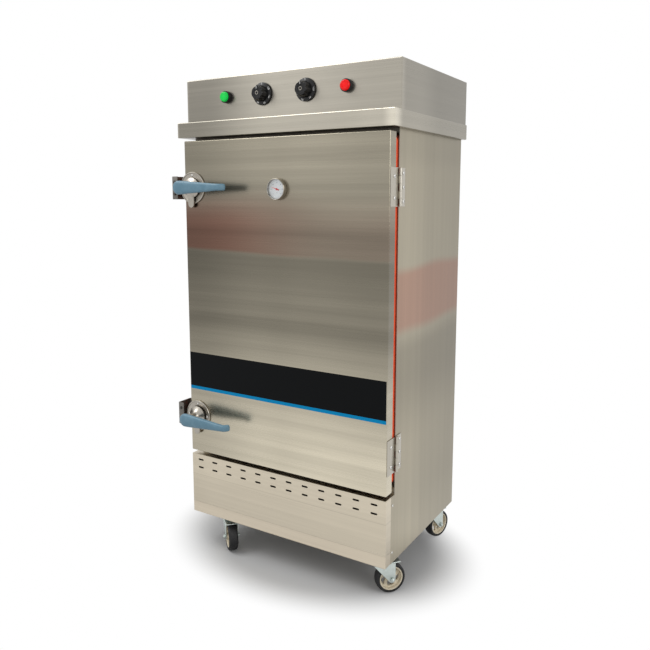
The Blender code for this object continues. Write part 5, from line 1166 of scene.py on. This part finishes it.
plate_master = block("plate_master", (-PLATE_HALF, -PLATE_HALF, PLATE_BOTTOM),
                     (PLATE_HALF, PLATE_HALF, PLATE_TOP))
round_corners(plate_master, lambda first, second: abs(first.z - second.z) > 0.002, PLATE_CORNER, 5)
rounded(plate_master, 0.0006, 2, 50)
race = turned("race", RACE_PROFILE, 56)
plate_bolts = [copied(bolt_master, "plate_bolt", aimed((x, y, PLATE_BOTTOM), "down")
                      @ Matrix.Scale(PLATE_BOLT_SCALE, 4))
               for x in (-PLATE_BOLT, PLATE_BOLT) for y in (-PLATE_BOLT, PLATE_BOLT)]
plate_master = joined("plate_master", [plate_master, race] + plate_bolts)

for corner in ("front_left", "front_right", "rear_left", "rear_right"):
    post = joint_at(f"{corner}_swivel")
    hub = joint_at(f"{corner}_roll")
    yaw = (hub - post).xy.angle_signed(Vector((1, 0)))
    turn = Matrix.Rotation(yaw, 4, "Z")
    fit(copied(fork_master, f"{corner}_fork_pressing", Matrix.Translation((post.x, post.y, 0)) @ turn),
        f"{corner}_fork", "zinc_plate", zinc, f"{corner}_caster_fork")
    fit(copied(plate_master, f"{corner}_plate", Matrix.Translation((post.x, post.y, race_z))),
        "cabinet", "zinc_plate", zinc, f"{corner}_caster_plate")
    rest = WHEEL_REST[0] + WHEEL_REST[1] * yaw
    rolled = Matrix.Translation(hub) @ turn @ FACING["front"] @ Matrix.Rotation(rest, 4, "Z")
    fit(copied(tyre_master, f"{corner}_tyre", rolled), f"{corner}_wheel", "tyre_rubber",
        tyre_rubber, f"{corner}_caster_tyre")
    fit(copied(centre_master, f"{corner}_centre", rolled), f"{corner}_wheel", "cream_plastic",
        cream, f"{corner}_caster_hub")
for master in (fork_master, plate_master, tyre_master, centre_master, bolt_master, screw_master):
    bpy.data.objects.remove(master, do_unlink=True)

# Chamber: a polished liner with a folded tray rack on each side, wrapped in
# mineral wool. Heat has left it faintly straw coloured towards the floor.

liner_steel = Finish("liner_steel", METAL)
run = liner_steel.noise((500, 500, 3), 3.0)
haze = liner_steel.noise(5, 4.0)
lime = liner_steel.along("Z").ramp(0.40, 0.75, 1.0, 0.0) * haze.ramp(0.3, 0.7)
liner_steel.set({"Base Color": liner_steel.blend(lime, (0.60, 0.575, 0.53), (0.58, 0.52, 0.42)),
                 "Roughness": 0.20 + 0.16 * haze + 0.06 * run})
liner_steel.emboss(run, 0.05, 0.0003)
dress(liner_steel, "chamber_liner", "left_tray_rack", "right_tray_rack", "water_tank")
dress(mottled("mineral_blanket", {"Specular IOR Level": 0.1}, (160, 5.0, 0.7), (0.85, 0.1),
              ((0.42, 0.36, 0.20), (0.74, 0.67, 0.46)), bump=(0.8, 0.003)), "insulation")

# Water side: a W-shaped heating tube that lies in the tank, dulled by scale, a
# brass inlet through the back and a brass drain with a cap.

dress(mottled("scaled_tube", METAL, (130, 5.0, 0.65), (0.40, 0.3),
              ((0.34, 0.33, 0.31), (0.60, 0.57, 0.50)), (0.4, 0.75), (0.35, 0.0008)),
      "heating_element")
brass = mottled("turned_brass", METAL, (70, 4.0), (0.24, 0.25),
                ((0.66, 0.47, 0.19), (0.40, 0.29, 0.13)), (0.35, 0.75))
dress(brass, "drain_pipe")

INLET_OUTSIDE = mm((10, 0.3), (18, 0.3), (18, 0.8), (18, 1.7), (18, 2.6), (18, 3.5), (18, 4.4),
                   (17.8, 5.3), (10.5, 5.3), (9.8, 5.6), (9.8, 11))
INLET_BORE = 0.0065
BARB_RADII = (0.0100, 0.0088)
BARBS_START = 0.0110
BARB_COUNT = 3
inlet_low, inlet_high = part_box("water_inlet")
inlet_place = ((inlet_low.x + inlet_high.x) / 2, back_high.y, (inlet_low.z + inlet_high.z) / 2)
inlet_end = inlet_high.y - back_high.y
inlet_inner = inlet_low.y - back_high.y
profile = [(INLET_BORE, inlet_inner), (0.0098, inlet_inner), (0.0100, inlet_inner + 0.0004)]
profile += INLET_OUTSIDE
barb_length = (inlet_end - 0.0015 - BARBS_START) / BARB_COUNT
for barb in range(BARB_COUNT):
    profile += [(BARB_RADII[0], BARBS_START + barb_length * barb),
                (BARB_RADII[1], BARBS_START + barb_length * (barb + 1))]
profile += [(0.0080, inlet_end), (INLET_BORE, inlet_end), (INLET_BORE, inlet_inner)]
inlet = turned("hose_barb", profile, 48, ring=True)
fit(moved(inlet, aimed(inlet_place, "back")), "cabinet", "brass", brass, "water_inlet")

# Cable gland: black moulded nylon, screwed through the control box's back, with
# a ribbed dome nut outside.

GLAND_PROFILE = mm((4.5, -10), (8.8, -10), (9, 0.3), (13.6, 0.3), (14, 0.7), (14, 5.2),
                   (13.2, 6), (11, 6.2), (11, 17.5), (10.6, 20), (9.6, 22.5), (8.2, 24),
                   (4.8, 24), (4.5, 23.6), (4.5, -10))
GLAND_RIBBED = (0.0061, 0.0201)
GLAND_RIB_SHARE = 0.955
gland_low, gland_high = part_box("cable_gland")
gland = turned("dome_nut", GLAND_PROFILE, 48, ring=True)
for corner in gland.data.vertices:
    if corner.index % 4 < 2 and GLAND_RIBBED[0] < corner.co.z < GLAND_RIBBED[1]:
        corner.co.xy *= GLAND_RIB_SHARE
gland_place = ((gland_low.x + gland_high.x) / 2, hood_high.y, (gland_low.z + gland_high.z) / 2)
fit(moved(gland, aimed(gland_place, "back")), "cabinet", "black_plastic", knob_black, "cable_gland")
